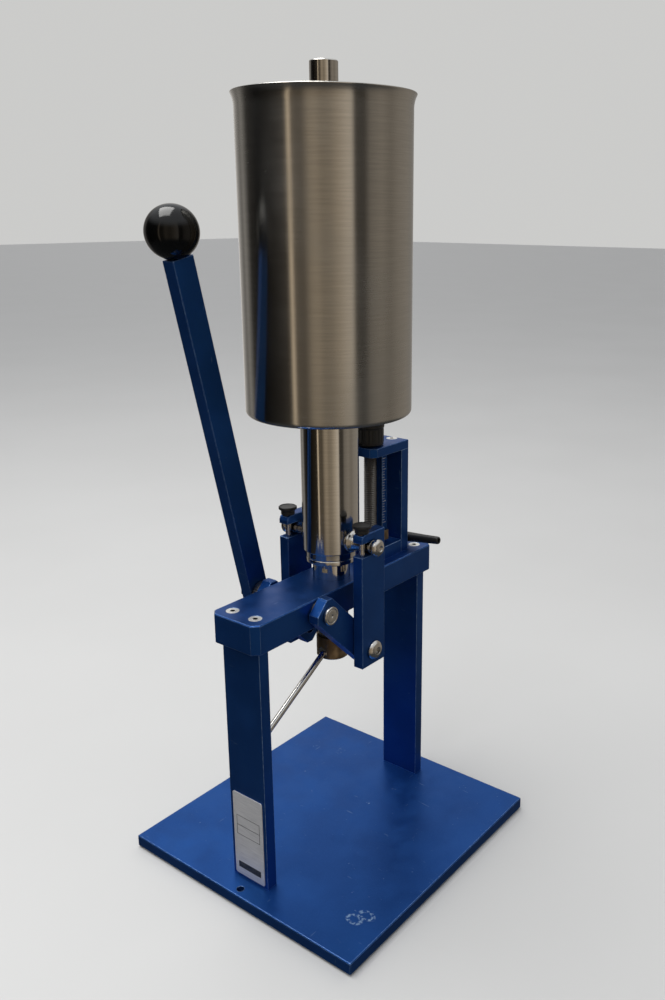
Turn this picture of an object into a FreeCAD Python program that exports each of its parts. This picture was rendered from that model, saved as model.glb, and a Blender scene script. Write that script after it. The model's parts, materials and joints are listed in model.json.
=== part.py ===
"""Lever-operated piston liquid filler, built as separate pieces in millimetres.

Frame: +Z up, +X along the cross-beam towards the volume adjuster, +Y towards the hand lever.
The origin is the centre of the underside of the rubber mat that the machine stands on.
"""
import FreeCAD
import Part
import Sketcher
import math
import os
import re

Vector = FreeCAD.Vector

# Driving dimensions: alias, value in millimetres or degrees, meaning.
DIMENSIONS = [
    ("mat_thick", 2, "rubber mat under the base plate"),
    ("mat_inset", 2, "mat edge inside the plate edge"),
    ("base_long", 260, "base plate along X"),
    ("base_wide", 250, "base plate along Y"),
    ("base_thick", 10, "base plate thickness"),
    ("bench_hole_x", 122.5, "bench bolt holes from the centre"),
    ("bench_hole_rad", 3.3, "bench bolt hole radius"),
    ("mat_hole_gap", 3, "mat hole larger than the bench bolt hole, per side"),
    ("post_thick", 10, "upright thickness along X"),
    ("post_wide", 40, "upright width along Y"),
    ("post_outer", 110, "upright outer face from the centre"),
    ("post_tall", 218, "upright height"),
    ("beam_long", 236, "cross-beam along X"),
    ("beam_wide", 50, "cross-beam along Y"),
    ("beam_tall", 25, "cross-beam height"),
    ("beam_corner", 5.5, "cross-beam corner chamfer"),
    ("edge_break", 0.8, "small edge chamfer"),
    ("screw_y", 12.5, "frame screws either side of the middle"),
    ("frame_screw_rad", 3, "M6 shank radius"),
    ("frame_head_rad", 5.3, "countersunk head radius of a beam screw"),
    ("frame_sink", 3, "countersink depth in the beam"),
    ("sink_rim", 0.3, "straight rim above a countersink"),
    ("socket_sink", 2.4, "hexagon socket depth in a countersunk head"),
    ("beam_screw_long", 45, "cross-beam screw length"),
    ("base_screw_long", 18, "base screw shank length"),
    ("tap_low", 20, "tapped hole in the lower end of an upright"),
    ("tap_high", 25, "tapped hole in the upper end of an upright"),
    ("socket_head_rad", 5, "M6 cap head radius"),
    ("socket_head_tall", 6, "M6 cap head height"),
    ("drill_gap", 0.1, "drilled hole larger than its screw, per side"),
    ("running_gap", 0.08, "running fit, per side"),
    ("side_gap", 0.3, "gap between plates that slide past each other"),
    ("label_wide", 34, "rating plate width"),
    ("label_tall", 80, "rating plate height"),
    ("label_thick", 0.8, "rating plate thickness"),
    ("label_corner", 2, "rating plate corner cut"),
    ("label_rise", 42, "rating plate middle above the base plate"),
    ("pivot_x", -45, "lever pivot along X"),
    ("pivot_rise", 12.5, "lever pivot above the beam underside"),
    ("shaft_rad", 6, "pivot shaft radius"),
    ("bush_rad", 8, "pivot bush radius"),
    ("bush_flange_rad", 11, "pivot bush flange radius"),
    ("bush_flange", 0.8, "pivot bush flange thickness"),
    ("bush_start", 5, "inner end of a pivot bush from the middle"),
    ("pivot_screw_rad", 3, "M6 pivot screw radius"),
    ("pivot_screw_grip", 14, "pivot screw inside the shaft"),
    ("pivot_tap", 16, "tapped hole in each end of the shaft"),
    ("cap_rad", 8, "crank screw head radius"),
    ("cap_tall", 3.2, "crank screw head height"),
    ("cap_edge", 0.8, "crank screw head edge"),
    ("hex_rad", 7.5, "lever screw head, centre to corner"),
    ("hex_tall", 5, "lever screw head height"),
    ("spacer_rad", 11, "lever spacer radius"),
    ("crank_thick", 10, "crank plate thickness"),
    ("crank_wide", 25, "crank plate width"),
    ("crank_over", 11.5, "crank plate past its holes"),
    ("crank_corner", 4.5, "crank end corner chamfer"),
    ("crank_drop", 45, "link pin right of and below the pivot"),
    ("crank_face", 26, "crank inner face from the middle"),
    ("link_thick", 10, "link thickness"),
    ("link_wide", 30, "link width"),
    ("link_pin_rad", 5, "link bolt shank radius"),
    ("link_under", 13, "link below its lower pin"),
    ("link_over", 13.5, "link above the trunnion"),
    ("link_nose", 4, "rounded top corner of a link over its slot"),
    ("dome_rad", 8.5, "link bolt head radius"),
    ("dome_rim", 1.6, "straight rim of the link bolt head"),
    ("dome_tall", 4.8, "link bolt head height"),
    ("trunnion_rise", 93, "trunnion above the link's lower pin"),
    ("trunnion_rad", 6, "trunnion neck radius"),
    ("boss_rad", 10, "trunnion boss radius at the cylinder"),
    ("tip_neck_rad", 4.5, "neck between the trunnion and its ball tip"),
    ("tip_rad", 7.6, "trunnion ball tip radius"),
    ("tip_tall", 7.8, "trunnion past the link"),
    ("lock_x", -9, "lock pin from the trunnion axis"),
    ("lock_rad", 2.5, "lock pin radius"),
    ("lock_bush_rad", 4, "lock pin bush radius"),
    ("lock_depth", 4, "lock pin below the slot"),
    ("knob_rad", 8, "lock pin knob radius"),
    ("knob_neck", 6, "lock pin knob neck radius"),
    ("knob_tall", 7.5, "lock pin knob height"),
    ("knob_bore", 5.5, "lock pin inside its knob"),
    ("lever_tilt", 12.75, "lever lean from upright"),
    ("lever_wide", 20, "lever bar width"),
    ("lever_thick", 12, "lever bar thickness"),
    ("lever_reach", 308, "pivot to ball centre"),
    ("lever_tail", 13, "lever bar below the pivot"),
    ("lever_face", 42.3, "lever bar inner face from the middle"),
    ("ball_rad", 20, "ball knob radius"),
    ("ball_flat", 18.5, "ball centre to its flat"),
    ("ball_bore_end", 4, "end of the ball's bore below its centre"),
    ("stud_rad", 4, "ball stud radius"),
    ("stud_long", 28, "ball stud length"),
    ("stud_hole", 15, "stud hole in the lever bar"),
    ("tube_rad", 24.4, "dosing cylinder outer radius"),
    ("bore_rad", 20, "dosing cylinder bore radius"),
    ("tube_low", 270.7, "dosing cylinder lower end"),
    ("tube_ring_rad", 22.3, "turned-down ring at the lower end"),
    ("tube_ring_tall", 10, "height of that ring"),
    ("hopper_low", 398.5, "hopper underside"),
    ("hopper_tall", 244.5, "hopper height"),
    ("hopper_rad", 68, "hopper outer radius"),
    ("hopper_wall", 1.5, "hopper sheet thickness"),
    ("hopper_edge", 4, "hopper lower edge radius"),
    ("rim_flare", 2.6, "hopper rim flare"),
    ("rim_tall", 11, "height of the flared rim"),
    ("floor_thick", 2, "hopper floor thickness"),
    ("seat_rad", 15, "hole in the hopper floor"),
    ("flange_rad", 32, "inner flange radius"),
    ("flange_tall", 8, "inner flange height"),
    ("rod_rad", 11, "valve rod radius"),
    ("rod_wall", 2, "valve rod wall"),
    ("rod_top", 666, "valve rod upper end"),
    ("valve_rad", 17, "valve disc radius"),
    ("valve_thick", 4, "valve disc thickness"),
    ("rod_plug", 6, "solid end of the valve rod"),
    ("guide_tall", 6, "valve guide height"),
    ("guide_ring_rad", 14, "valve guide's inner ring radius"),
    ("guide_hoop_in", 25, "valve guide's outer hoop, inner radius"),
    ("guide_hoop_out", 28, "valve guide's outer hoop, outer radius"),
    ("spoke_wide", 3, "valve guide spoke width"),
    ("collar_rad", 16, "rod collar radius"),
    ("collar_tall", 5, "rod collar height"),
    ("spring_tall", 28, "valve spring space between guide and collar"),
    ("spring_rad", 13, "valve spring coil radius"),
    ("spring_wire", 1.1, "valve spring wire radius"),
    ("check_spring_rad", 4.8, "outlet check spring coil radius"),
    ("check_spring_wire", 0.6, "outlet check spring wire radius"),
    ("check_spring_tall", 18.6, "outlet check spring height"),
    ("stem_rad", 12, "piston stem radius"),
    ("stem_bore", 6, "piston stem bore radius"),
    ("piston_low", 360, "piston underside"),
    ("piston_tall", 28, "piston height"),
    ("piston_gap", 0.2, "piston smaller than its bore, per side"),
    ("groove_sink", 2, "seal groove depth"),
    ("groove_tall", 3, "seal groove height"),
    ("seal_tall", 2.8, "seal height"),
    ("seal_first", 5, "lower seal groove above the piston underside"),
    ("seal_second", 18, "upper seal groove above the piston underside"),
    ("check_ball_rad", 7.5, "outlet check ball radius"),
    ("stem_step", 16, "wide bore at the top of the piston stem"),
    ("nut_rad", 16, "slotted nut radius"),
    ("nut_tall", 14.5, "slotted nut height"),
    ("nut_slot_wide", 5, "slot in the slotted nut"),
    ("nut_slot_deep", 7, "depth of those slots"),
    ("nozzle_seal_tall", 2.5, "nozzle seal height"),
    ("outlet_low", 180, "outlet spout lower end"),
    ("outlet_rad", 14.2, "outlet spout radius"),
    ("outlet_tall", 20, "outlet spout height"),
    ("plug_rise", 5.8, "plug valve axis above the spout's lower end"),
    ("plug_rad", 4.6, "plug valve radius"),
    ("handle_rad", 2.7, "outlet handle rod radius"),
    ("handle_slope", 31.5, "outlet handle below level"),
    ("handle_long", 90, "outlet handle rod length"),
    ("handle_start", 9.6, "outlet handle's inner end from the outlet axis"),
    ("plug_bore", 3.2, "bore through the plug valve"),
    ("adjust_x", 41, "volume adjuster from the centre"),
    ("adjust_long", 50, "volume adjuster along X"),
    ("adjust_wide", 30, "volume adjuster along Y"),
    ("adjust_foot", 12, "volume adjuster foot height"),
    ("adjust_tall", 105, "volume adjuster height"),
    ("adjust_plate", 8, "volume adjuster top plate thickness"),
    ("adjust_post", 10, "volume adjuster post along X"),
    ("foot_screw_x", 72, "foot screws from the centre"),
    ("foot_screw_y", 9, "foot screws either side of the middle"),
    ("small_screw_rad", 2.5, "M5 shank radius"),
    ("small_cap_rad", 4.5, "M5 cap head radius"),
    ("small_cap_tall", 5, "M5 cap head height"),
    ("small_cap_sink", 5.5, "counterbore for that head"),
    ("small_head_rad", 5, "M5 countersunk head radius"),
    ("small_sink", 2.5, "M5 countersink depth"),
    ("plate_screw_in", 5, "plate screw from the post's outer face"),
    ("plate_screw_long", 24, "plate screw length"),
    ("spindle_x", 54.5, "spindle from the centre"),
    ("spindle_rad", 6, "spindle radius"),
    ("guide_x", 64, "guide bar from the centre"),
    ("guide_long", 7, "guide bar along X"),
    ("guide_wide", 12, "guide bar along Y"),
    ("shoe_long", 23, "guide shoe along X"),
    ("shoe_wide", 18, "guide shoe along Y"),
    ("shoe_tall", 9, "guide shoe height"),
    ("shoe_start", 8, "guide shoe's end from the spindle"),
    ("shoe_rise", 3, "guide shoe above the foot"),
    ("dial_rad", 12, "adjuster knob radius"),
    ("dial_tall", 20, "adjuster knob height"),
    ("clamp_rise", 7, "clamp screw above the beam"),
    ("clamp_screw_rad", 3, "clamp screw radius"),
    ("clamp_hub_rad", 6, "clamp hub radius"),
    ("clamp_hub_long", 15, "clamp hub length"),
    ("clamp_root_rad", 4.6, "clamp handle radius at the hub"),
    ("clamp_tip_rad", 3.5, "clamp handle radius at its end"),
    ("clamp_lean", 84, "clamp handle turned from upright"),
    ("clamp_reach", 44, "clamp handle length"),
]

# Heights and places worked out from the driving dimensions.
PLATE_TOP = "(mat_thick + base_thick)"
BEAM_LOW = f"({PLATE_TOP} + post_tall)"
BEAM_TOP = f"({BEAM_LOW} + beam_tall)"
POST_MID = "(post_outer - post_thick / 2)"
PIVOT_Z = f"({BEAM_LOW} + pivot_rise)"
LINK_PIN_Z = f"({PIVOT_Z} - crank_drop)"
TRUNNION_Z = f"({LINK_PIN_Z} + trunnion_rise)"
LINK_FACE = "(crank_face + crank_thick + side_gap)"
LINK_OUTER = f"({LINK_FACE} + link_thick)"
ADJUST_END = "(adjust_x + adjust_long)"
PLATE_LOW = f"({BEAM_TOP} + adjust_tall - adjust_plate)"
DIAL_LOW = f"({BEAM_TOP} + adjust_tall + side_gap)"
FLOOR_TOP = "(hopper_low + floor_thick)"
GUIDE_LOW = f"({FLOOR_TOP} + flange_tall)"
SPRING_LOW = f"({GUIDE_LOW} + guide_tall)"
COLLAR_LOW = f"({SPRING_LOW} + spring_tall)"
LINK_MID = f"({LINK_FACE} + link_thick / 2)"
LEVER_MID = "(lever_face + lever_thick / 2)"
CRANK_OUTER = "(crank_face + crank_thick)"
PLATE_SCREW_X = f"({ADJUST_END} - plate_screw_in)"
FOOT_SCREWS = [("foot_screw_x", "-foot_screw_y"), ("foot_screw_x", "foot_screw_y")]
FRAME_SCREWS = [(x, y) for x in (f"-{POST_MID}", POST_MID) for y in ("-screw_y", "screw_y")]

TURNS = {
    "Z": (Vector(0, 0, 1), 0),
    "Y": (Vector(1, 0, 0), -90),
    "-Y": (Vector(1, 0, 0), 90),
    "X": (Vector(0, 1, 0), 90),
    "-X": (Vector(0, 1, 0), -90),
}

ALIASES = {alias for alias, size, meaning in DIMENSIONS}
PASS_BOTH_WAYS = 1
COIL_ARCS = 8

doc = FreeCAD.newDocument("PistonFiller")
sheet = doc.addObject("Spreadsheet::Sheet", "Sizes")
nodes = {}


def fill_sheet():
    """Write every driving dimension and its alias into the sheet."""
    for row, (alias, size, meaning) in enumerate(DIMENSIONS, start=1):
        sheet.set(f"A{row}", meaning)
        sheet.set(f"B{row}", str(size))
        sheet.setAlias(f"B{row}", alias)
    doc.recompute()


def named(word):
    """A dimension's name as a reference to its cell, and any other word as it is."""
    return "Sizes." + word if word in ALIASES else word


def bound(text):
    """Turn names of dimensions into references to the sheet."""
    return re.sub(r"[a-z_]+", lambda word: named(word.group()), str(text))


def value(text):
    """Work out an expression of dimensions as a number."""
    return float(sheet.evalExpression(bound(text)))


def bind(item, prop, text):
    """Bind one property of an object to the sheet."""
    item.setExpression(prop, bound(text))


def place(item, at, turn=None):
    """Put an object at a bound point, turned about an axis by an angle in degrees."""
    axis, angle = turn or TURNS["Z"]
    item.Placement = FreeCAD.Placement(Vector(*[value(part) for part in at]), FreeCAD.Rotation(axis, angle))
    for name, part in zip("xyz", at):
        bind(item, f"Placement.Base.{name}", part)
    return item


def keep(label, item):
    """Give a finished piece its label and keep it for export."""
    item.Label = label
    nodes[label] = item
    return item


def box(size, low):
    """A block from its low corner."""
    item = doc.addObject("Part::Box", "Block")
    for prop, text in zip(("Length", "Width", "Height"), size):
        bind(item, prop, text)
    return place(item, low)


def centred_box(size, centre):
    """A block from its centre."""
    return box(size, [f"{c} - ({s}) / 2" for c, s in zip(centre, size)])


def rod(radius, length, start, along="Z", turn=None):
    """A round rod from the centre of its first end."""
    item = doc.addObject("Part::Cylinder", "Rod")
    bind(item, "Radius", radius)
    bind(item, "Height", length)
    return place(item, start, turn or TURNS[along])


def cone(radius_start, radius_end, length, start, turn=None):
    """A tapered rod from the centre of its first end."""
    item = doc.addObject("Part::Cone", "Taper")
    bind(item, "Radius1", radius_start)
    bind(item, "Radius2", radius_end)
    bind(item, "Height", length)
    return place(item, start, turn)


def ball(radius, centre):
    """A full ball."""
    item = doc.addObject("Part::Sphere", "Ball")
    bind(item, "Radius", radius)
    return place(item, centre)


def bar_at(size, corner, angle):
    """A block with its low corner given in a frame turned about Z by an angle in degrees."""
    item = doc.addObject("Part::Box", "Bar")
    for prop, text in zip(("Length", "Width", "Height"), size):
        bind(item, prop, text)
    turn = FreeCAD.Rotation(Vector(0, 0, 1), angle)
    item.Placement = FreeCAD.Placement(turn.multVec(Vector(*[value(part) for part in corner])), turn)
    return item


def hexagon(radius, tall, at, turn=None):
    """A six-sided bar."""
    item = doc.addObject("Part::Prism", "Hexagon")
    item.Polygon = 6
    bind(item, "Circumradius", radius)
    bind(item, "Height", tall)
    return place(item, at, turn)


def ring(outer, inner, tall, at):
    """A flat ring from the centre of its lower face."""
    return cut(rod(outer, tall, at), rod(inner, tall, at))


def join(*items):
    """One solid out of several that touch or overlap."""
    if len(items) == 1:
        return items[0]
    item = doc.addObject("Part::MultiFuse", "Join")
    item.Shapes = list(items)
    return item


def cut(base, *tools):
    """A solid with the tools taken away."""
    item = doc.addObject("Part::Cut", "Cut")
    item.Base = base
    item.Tool = join(*tools)
    return item


def group(*items):
    """Identical separate pieces kept together as one node."""
    item = doc.addObject("Part::Compound", "Group")
    item.Links = list(items)
    return item


def plane_of(body, name):
    """One of a body's own origin planes or axes, found by its role."""
    return next(item for item in body.Origin.OriginFeatures if item.Role == name)


def sketch_on(body, plane):
    """An empty sketch on one of a body's origin planes."""
    sketch = body.newObject("Sketcher::SketchObject", "Sketch")
    sketch.AttachmentSupport = (plane_of(body, plane), [""])
    sketch.MapMode = "FlatFace"
    return sketch


def pin_point(sketch, index, where, point):
    """Hold one sketch point at bound distances from the sketch origin."""
    for kind, text in zip(("DistanceX", "DistanceY"), point):
        number = sketch.addConstraint(Sketcher.Constraint(kind, -1, 1, index, where, value(text)))
        sketch.setExpression(f"Constraints[{number}]", bound(text))


def draw_outline(sketch, points):
    """A closed outline of straight lines through bound points."""
    corners = [Vector(value(x), value(y), 0) for x, y in points]
    count = len(corners)
    for index in range(count):
        sketch.addGeometry(Part.LineSegment(corners[index], corners[(index + 1) % count]), False)
    for index in range(count):
        sketch.addConstraint(Sketcher.Constraint("Coincident", index, 2, (index + 1) % count, 1))
    for index, point in enumerate(points):
        pin_point(sketch, index, 1, point)


def draw_circles(sketch, circles):
    """Circles with bound centres and radii, each (x, y, radius)."""
    for index, (x, y, radius) in enumerate(circles):
        centre = Vector(value(x), value(y), 0)
        sketch.addGeometry(Part.Circle(centre, Vector(0, 0, 1), value(radius)), False)
        pin_point(sketch, index, 3, (x, y))
        number = sketch.addConstraint(Sketcher.Constraint("Radius", index, value(radius)))
        sketch.setExpression(f"Constraints[{number}]", bound(radius))


def new_body(at, turn=None):
    """An empty body at a bound point."""
    body = doc.addObject("PartDesign::Body", "Body")
    return place(body, at, turn)


def padded(body, plane, points, thick):
    """Pad an outline to both sides of its plane."""
    sketch = sketch_on(body, plane)
    draw_outline(sketch, points)
    pad = body.newObject("PartDesign::Pad", "Pad")
    pad.Profile = sketch
    pad.Midplane = True
    bind(pad, "Length", thick)
    doc.recompute()
    return body


def pocket_all(body, plane, circles=(), points=()):
    """Cut round holes or one outline right through a body, both ways."""
    sketch = sketch_on(body, plane)
    if points:
        draw_outline(sketch, points)
    draw_circles(sketch, circles)
    before = body.Tip.Shape.Volume
    pocket = body.newObject("PartDesign::Pocket", "Pocket")
    pocket.Profile = sketch
    pocket.Midplane = True
    pocket.Type = PASS_BOTH_WAYS
    doc.recompute()
    if not pocket.Shape.Volume < before - 0.01:
        raise RuntimeError(f"a pocket of {body.Name} cuts nothing")
    return body


def chamfer_edges(body, test, size):
    """Chamfer the straight edges of a body that a test picks by their ends."""
    tip = body.Tip
    names = []
    for number, edge in enumerate(tip.Shape.Edges, start=1):
        ends = [vertex.Point for vertex in edge.Vertexes]
        if len(ends) == 2 and edge.Curve.TypeId == "Part::GeomLine" and test(*ends):
            names.append(f"Edge{number}")
    chamfer = body.newObject("PartDesign::Chamfer", "Chamfer")
    chamfer.Base = (tip, names)
    bind(chamfer, "Size", size)
    doc.recompute()
    return body


def spun(body, sketch):
    """Revolve a sketch a full turn about its vertical axis."""
    turn = body.newObject("PartDesign::Revolution", "Revolution")
    turn.Profile = sketch
    turn.ReferenceAxis = (sketch, ["V_Axis"])
    turn.Angle = 360
    doc.recompute()
    return body


def turned(profile, at, along="Z"):
    """Revolve a closed profile of (radius, height) points about the body's own axis."""
    body = new_body(at, TURNS[along])
    sketch = sketch_on(body, "XZ_Plane")
    draw_outline(sketch, profile)
    return spun(body, sketch)


def coil(radius, wire, tall, turns, at):
    """A round-wire compression spring of short arcs, read from the sheet and placed once it is shaped."""
    steps = turns * COIL_ARCS

    def on_coil(step):
        """A point of the coil's centre line."""
        angle = 2 * math.pi * step / COIL_ARCS
        size = value(radius)
        return Vector(size * math.cos(angle), size * math.sin(angle), value(tall) * step / steps)

    arcs = [Part.Arc(on_coil(step), on_coil(step + 0.5), on_coil(step + 1)).toShape()
            for step in range(steps)]
    section = Part.makeCircle(value(wire), on_coil(0), arcs[0].tangentAt(arcs[0].FirstParameter))
    item = doc.addObject("Part::Feature", "Coil")
    item.Shape = Part.Wire(arcs).makePipeShell([Part.Wire(section)], True, True)
    item.Placement = FreeCAD.Placement(Vector(*[value(part) for part in at]), FreeCAD.Rotation())
    return item


def flipped(item):
    """The mirror image of a piece on the other side of the XZ plane."""
    mirror = doc.addObject("Part::Mirroring", "Mirror")
    mirror.Source = item
    mirror.Normal = Vector(0, 1, 0)
    mirror.Base = Vector(0, 0, 0)
    return mirror


# ---------------------------------------------------------------- base and frame

def build_base():
    """Rubber mat, base plate and the four screws that hold the uprights from below."""
    mat = box(["base_long - 2 * mat_inset", "base_wide - 2 * mat_inset", "mat_thick"],
              ["mat_inset - base_long / 2", "mat_inset - base_wide / 2", "0"])
    bolt_gaps = [rod("bench_hole_rad + mat_hole_gap", "mat_thick", [f"{side}bench_hole_x", "0", "0"])
                 for side in ("-", "")]
    keep("rubber_mat", cut(mat, *bolt_gaps))

    half_x = "base_long / 2"
    half_y = "base_wide / 2"
    plate = new_body(["0", "0", "mat_thick + base_thick / 2"])
    padded(plate, "XY_Plane", [(f"-{half_x}", f"-{half_y}"), (half_x, f"-{half_y}"),
                               (half_x, half_y), (f"-{half_x}", half_y)], "base_thick")
    chamfer_edges(plate, lambda a, b: a.z > 0 and b.z > 0 or abs(a.z - b.z) > 1, "edge_break")
    pocket_all(plate, "XY_Plane", [(f"{side}bench_hole_x", "0", "bench_hole_rad") for side in ("-", "")])
    pocket_all(plate, "XY_Plane", [(x, y, "frame_screw_rad + drill_gap") for x, y in FRAME_SCREWS])
    sinks = [rod("socket_head_rad + drill_gap", "socket_head_tall", [x, y, "mat_thick"])
             for x, y in FRAME_SCREWS]
    keep("base_plate", cut(plate, *sinks))
    keep("base_screws", group(*[
        join(rod("socket_head_rad", "socket_head_tall - drill_gap", [x, y, "mat_thick + drill_gap"]),
             rod("frame_screw_rad", "base_screw_long", [x, y, "mat_thick + 1"]))
        for x, y in FRAME_SCREWS]))


def build_upright(label, side):
    """One flat-bar upright with its tapped end holes."""
    bar = centred_box(["post_thick", "post_wide", "post_tall"],
                      [f"{side}{POST_MID}", "0", f"{PLATE_TOP} + post_tall / 2"])
    radius = "frame_screw_rad + drill_gap"
    holes = []
    for y in ("-screw_y", "screw_y"):
        holes.append(rod(radius, "tap_low", [f"{side}{POST_MID}", y, PLATE_TOP]))
        holes.append(rod(radius, "tap_high", [f"{side}{POST_MID}", y, f"{BEAM_LOW} - tap_high"]))
    keep(label, cut(bar, *holes))


def build_beam():
    """Cross-beam with bores for the piston stem, the lever pivot and the spindle, and its four screws."""
    long_half = "beam_long / 2"
    wide_half = "beam_wide / 2"
    inner_x = "(beam_long / 2 - beam_corner)"
    inner_y = "(beam_wide / 2 - beam_corner)"
    beam = new_body(["0", "0", f"{BEAM_LOW} + beam_tall / 2"])
    padded(beam, "XY_Plane", [
        (f"-{inner_x}", f"-{wide_half}"), (inner_x, f"-{wide_half}"), (long_half, f"-{inner_y}"),
        (long_half, inner_y), (inner_x, wide_half), (f"-{inner_x}", wide_half),
        (f"-{long_half}", inner_y), (f"-{long_half}", f"-{inner_y}")], "beam_tall")
    chamfer_edges(beam, lambda a, b: abs(a.z - b.z) < 0.1, "edge_break")
    pocket_all(beam, "XY_Plane", [("0", "0", "stem_rad + drill_gap")]
               + [("spindle_x", "0", "spindle_rad + side_gap")]
               + [(x, y, "frame_screw_rad + drill_gap") for x, y in FRAME_SCREWS]
               + [(x, y, "small_screw_rad + drill_gap") for x, y in FOOT_SCREWS])
    pocket_all(beam, "XZ_Plane", [("pivot_x", "0", "bush_rad + drill_gap")])
    sinks = [countersink(x, y, BEAM_TOP, "frame_screw_rad", "frame_head_rad", "frame_sink")
             for x, y in FRAME_SCREWS]
    sinks += [rod("small_cap_rad + drill_gap", "small_cap_sink", [x, y, BEAM_LOW]) for x, y in FOOT_SCREWS]
    keep("cross_beam", cut(beam, *sinks))
    keep("beam_screws", group(*[
        countersunk(x, y, BEAM_TOP, "frame_screw_rad", "frame_head_rad", "frame_sink", "beam_screw_long")
        for x, y in FRAME_SCREWS]))


def countersink(x, y, top, shank, head, sink):
    """The seat that a countersunk screw's head needs, a little larger than the head."""
    seat = cone(f"{shank} + drill_gap", f"{head} + drill_gap", f"{sink} - sink_rim",
                [x, y, f"{top} - {sink}"])
    return join(seat, rod(f"{head} + drill_gap", "sink_rim", [x, y, f"{top} - sink_rim"]))


def countersunk(x, y, top, shank, head, sink, long):
    """A countersunk socket screw pointing down, with its hexagon socket."""
    screw = join(cone(shank, head, f"{sink} - sink_rim", [x, y, f"{top} - {sink}"]),
                 rod(head, "sink_rim - drill_gap", [x, y, f"{top} - sink_rim"]),
                 rod(shank, long, [x, y, f"{top} - {long}"]))
    return cut(screw, hexagon(f"{shank} * 0.72", "socket_sink", [x, y, f"{top} - socket_sink"]))


def build_name_plate():
    """Blank rating plate on the front upright."""
    plate = new_body(["-post_outer - label_thick / 2", "0", f"{PLATE_TOP} + label_rise"])
    wide, tall = "(label_wide / 2)", "(label_tall / 2)"
    inner_y, inner_z = f"({wide} - label_corner)", f"({tall} - label_corner)"
    padded(plate, "YZ_Plane", [
        (f"-{inner_y}", f"-{tall}"), (inner_y, f"-{tall}"), (wide, f"-{inner_z}"), (wide, inner_z),
        (inner_y, tall), (f"-{inner_y}", tall), (f"-{wide}", inner_z), (f"-{wide}", f"-{inner_z}")],
        "label_thick")
    keep("name_plate", plate)


# ---------------------------------------------------------------- lever, cranks and links

def pivot_bush():
    """Flanged bush in the +Y side of the beam."""
    inner, long = "shaft_rad + running_gap", "(beam_wide / 2 - bush_start)"
    return turned([(inner, "0"), ("bush_rad", "0"), ("bush_rad", long), ("bush_flange_rad", long),
                   ("bush_flange_rad", f"{long} + bush_flange"), (inner, f"{long} + bush_flange")],
                  ["pivot_x", "bush_start", PIVOT_Z], "Y")


def crank_plate(side):
    """Flat-bar crank with chamfered corners, pointing right and down at 45 degrees."""
    throw = "(crank_drop * sqrt(2))"
    low, high, half, cut_off = "(-crank_over)", f"({throw} + crank_over)", "(crank_wide / 2)", "crank_corner"
    body = new_body(["pivot_x", f"{side}(crank_face + crank_thick / 2)", PIVOT_Z], (Vector(0, 1, 0), 45))
    padded(body, "XZ_Plane", [
        (f"{low} + {cut_off}", f"-{half}"), (f"{high} - {cut_off}", f"-{half}"),
        (high, f"{cut_off} - {half}"), (high, f"{half} - {cut_off}"),
        (f"{high} - {cut_off}", half), (f"{low} + {cut_off}", half),
        (low, f"{half} - {cut_off}"), (low, f"{cut_off} - {half}")], "crank_thick")
    chamfer_edges(body, lambda a, b: abs(a.y - b.y) < 0.1, "edge_break / 2")
    pocket_all(body, "XZ_Plane", [("0", "0", "shaft_rad"), (throw, "0", "link_pin_rad + side_gap")])
    return body


def build_lever():
    """Pivot shaft, cranks, hand lever with its spacer and screws, and the ball knob."""
    keep("far_pivot_bush", pivot_bush())
    keep("near_pivot_bush", flipped(pivot_bush()))
    shaft = rod("shaft_rad", f"2 * {CRANK_OUTER}", ["pivot_x", f"-{CRANK_OUTER}", PIVOT_Z], "Y")
    taps = [rod("pivot_screw_rad", "pivot_tap", ["pivot_x", f"-{CRANK_OUTER}", PIVOT_Z], "Y"),
            rod("pivot_screw_rad", "pivot_tap", ["pivot_x", CRANK_OUTER, PIVOT_Z], "-Y")]
    keep("pivot_shaft", cut(shaft, *taps))
    keep("near_crank", crank_plate("-"))
    keep("far_crank", crank_plate(""))
    keep("near_crank_screw", turned([
        ("0", "-pivot_screw_grip"), ("pivot_screw_rad", "-pivot_screw_grip"), ("pivot_screw_rad", "0"),
        ("cap_rad", "0"), ("cap_rad", "cap_tall - cap_edge"), ("cap_rad - cap_edge", "cap_tall"),
        ("0", "cap_tall")], ["pivot_x", f"-{CRANK_OUTER}", PIVOT_Z], "-Y"))
    inner_end = ["pivot_x", CRANK_OUTER, PIVOT_Z]
    keep("lever_spacer", cut(rod("spacer_rad", f"lever_face - {CRANK_OUTER}", inner_end, "Y"),
                             rod("pivot_screw_rad + drill_gap", "spacer_rad", inner_end, "Y")))

    lean = (Vector(0, 1, 0), -value("lever_tilt"))
    bar = new_body(["pivot_x", LEVER_MID, PIVOT_Z], lean)
    half, top, tail = "(lever_wide / 2)", "(lever_reach - ball_flat)", "(-lever_tail)"
    padded(bar, "XZ_Plane", [(f"-{half}", tail), (half, tail), (half, top), (f"-{half}", top)], "lever_thick")
    chamfer_edges(bar, lambda a, b: True, "edge_break / 2")
    pocket_all(bar, "XZ_Plane", [("0", "0", "pivot_screw_rad + drill_gap")])
    keep("lever_bar", cut(bar, rod("stud_rad", "stud_long", lever_point(f"{top} - stud_hole"), turn=lean)))
    keep("ball_stud", rod("stud_rad", "stud_long", lever_point(f"{top} - stud_long / 2"), turn=lean))
    keep("lever_screw", hexagon_screw())
    knob = new_body(lever_point("lever_reach"), lean)
    sketch = sketch_on(knob, "XZ_Plane")
    draw_ball_profile(sketch)
    keep("ball_knob", spun(knob, sketch))


def lever_point(distance):
    """A point on the lever's centre line, so far from the pivot."""
    return [f"pivot_x - ({distance}) * sin(lever_tilt)", LEVER_MID,
            f"{PIVOT_Z} + ({distance}) * cos(lever_tilt)"]


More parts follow.
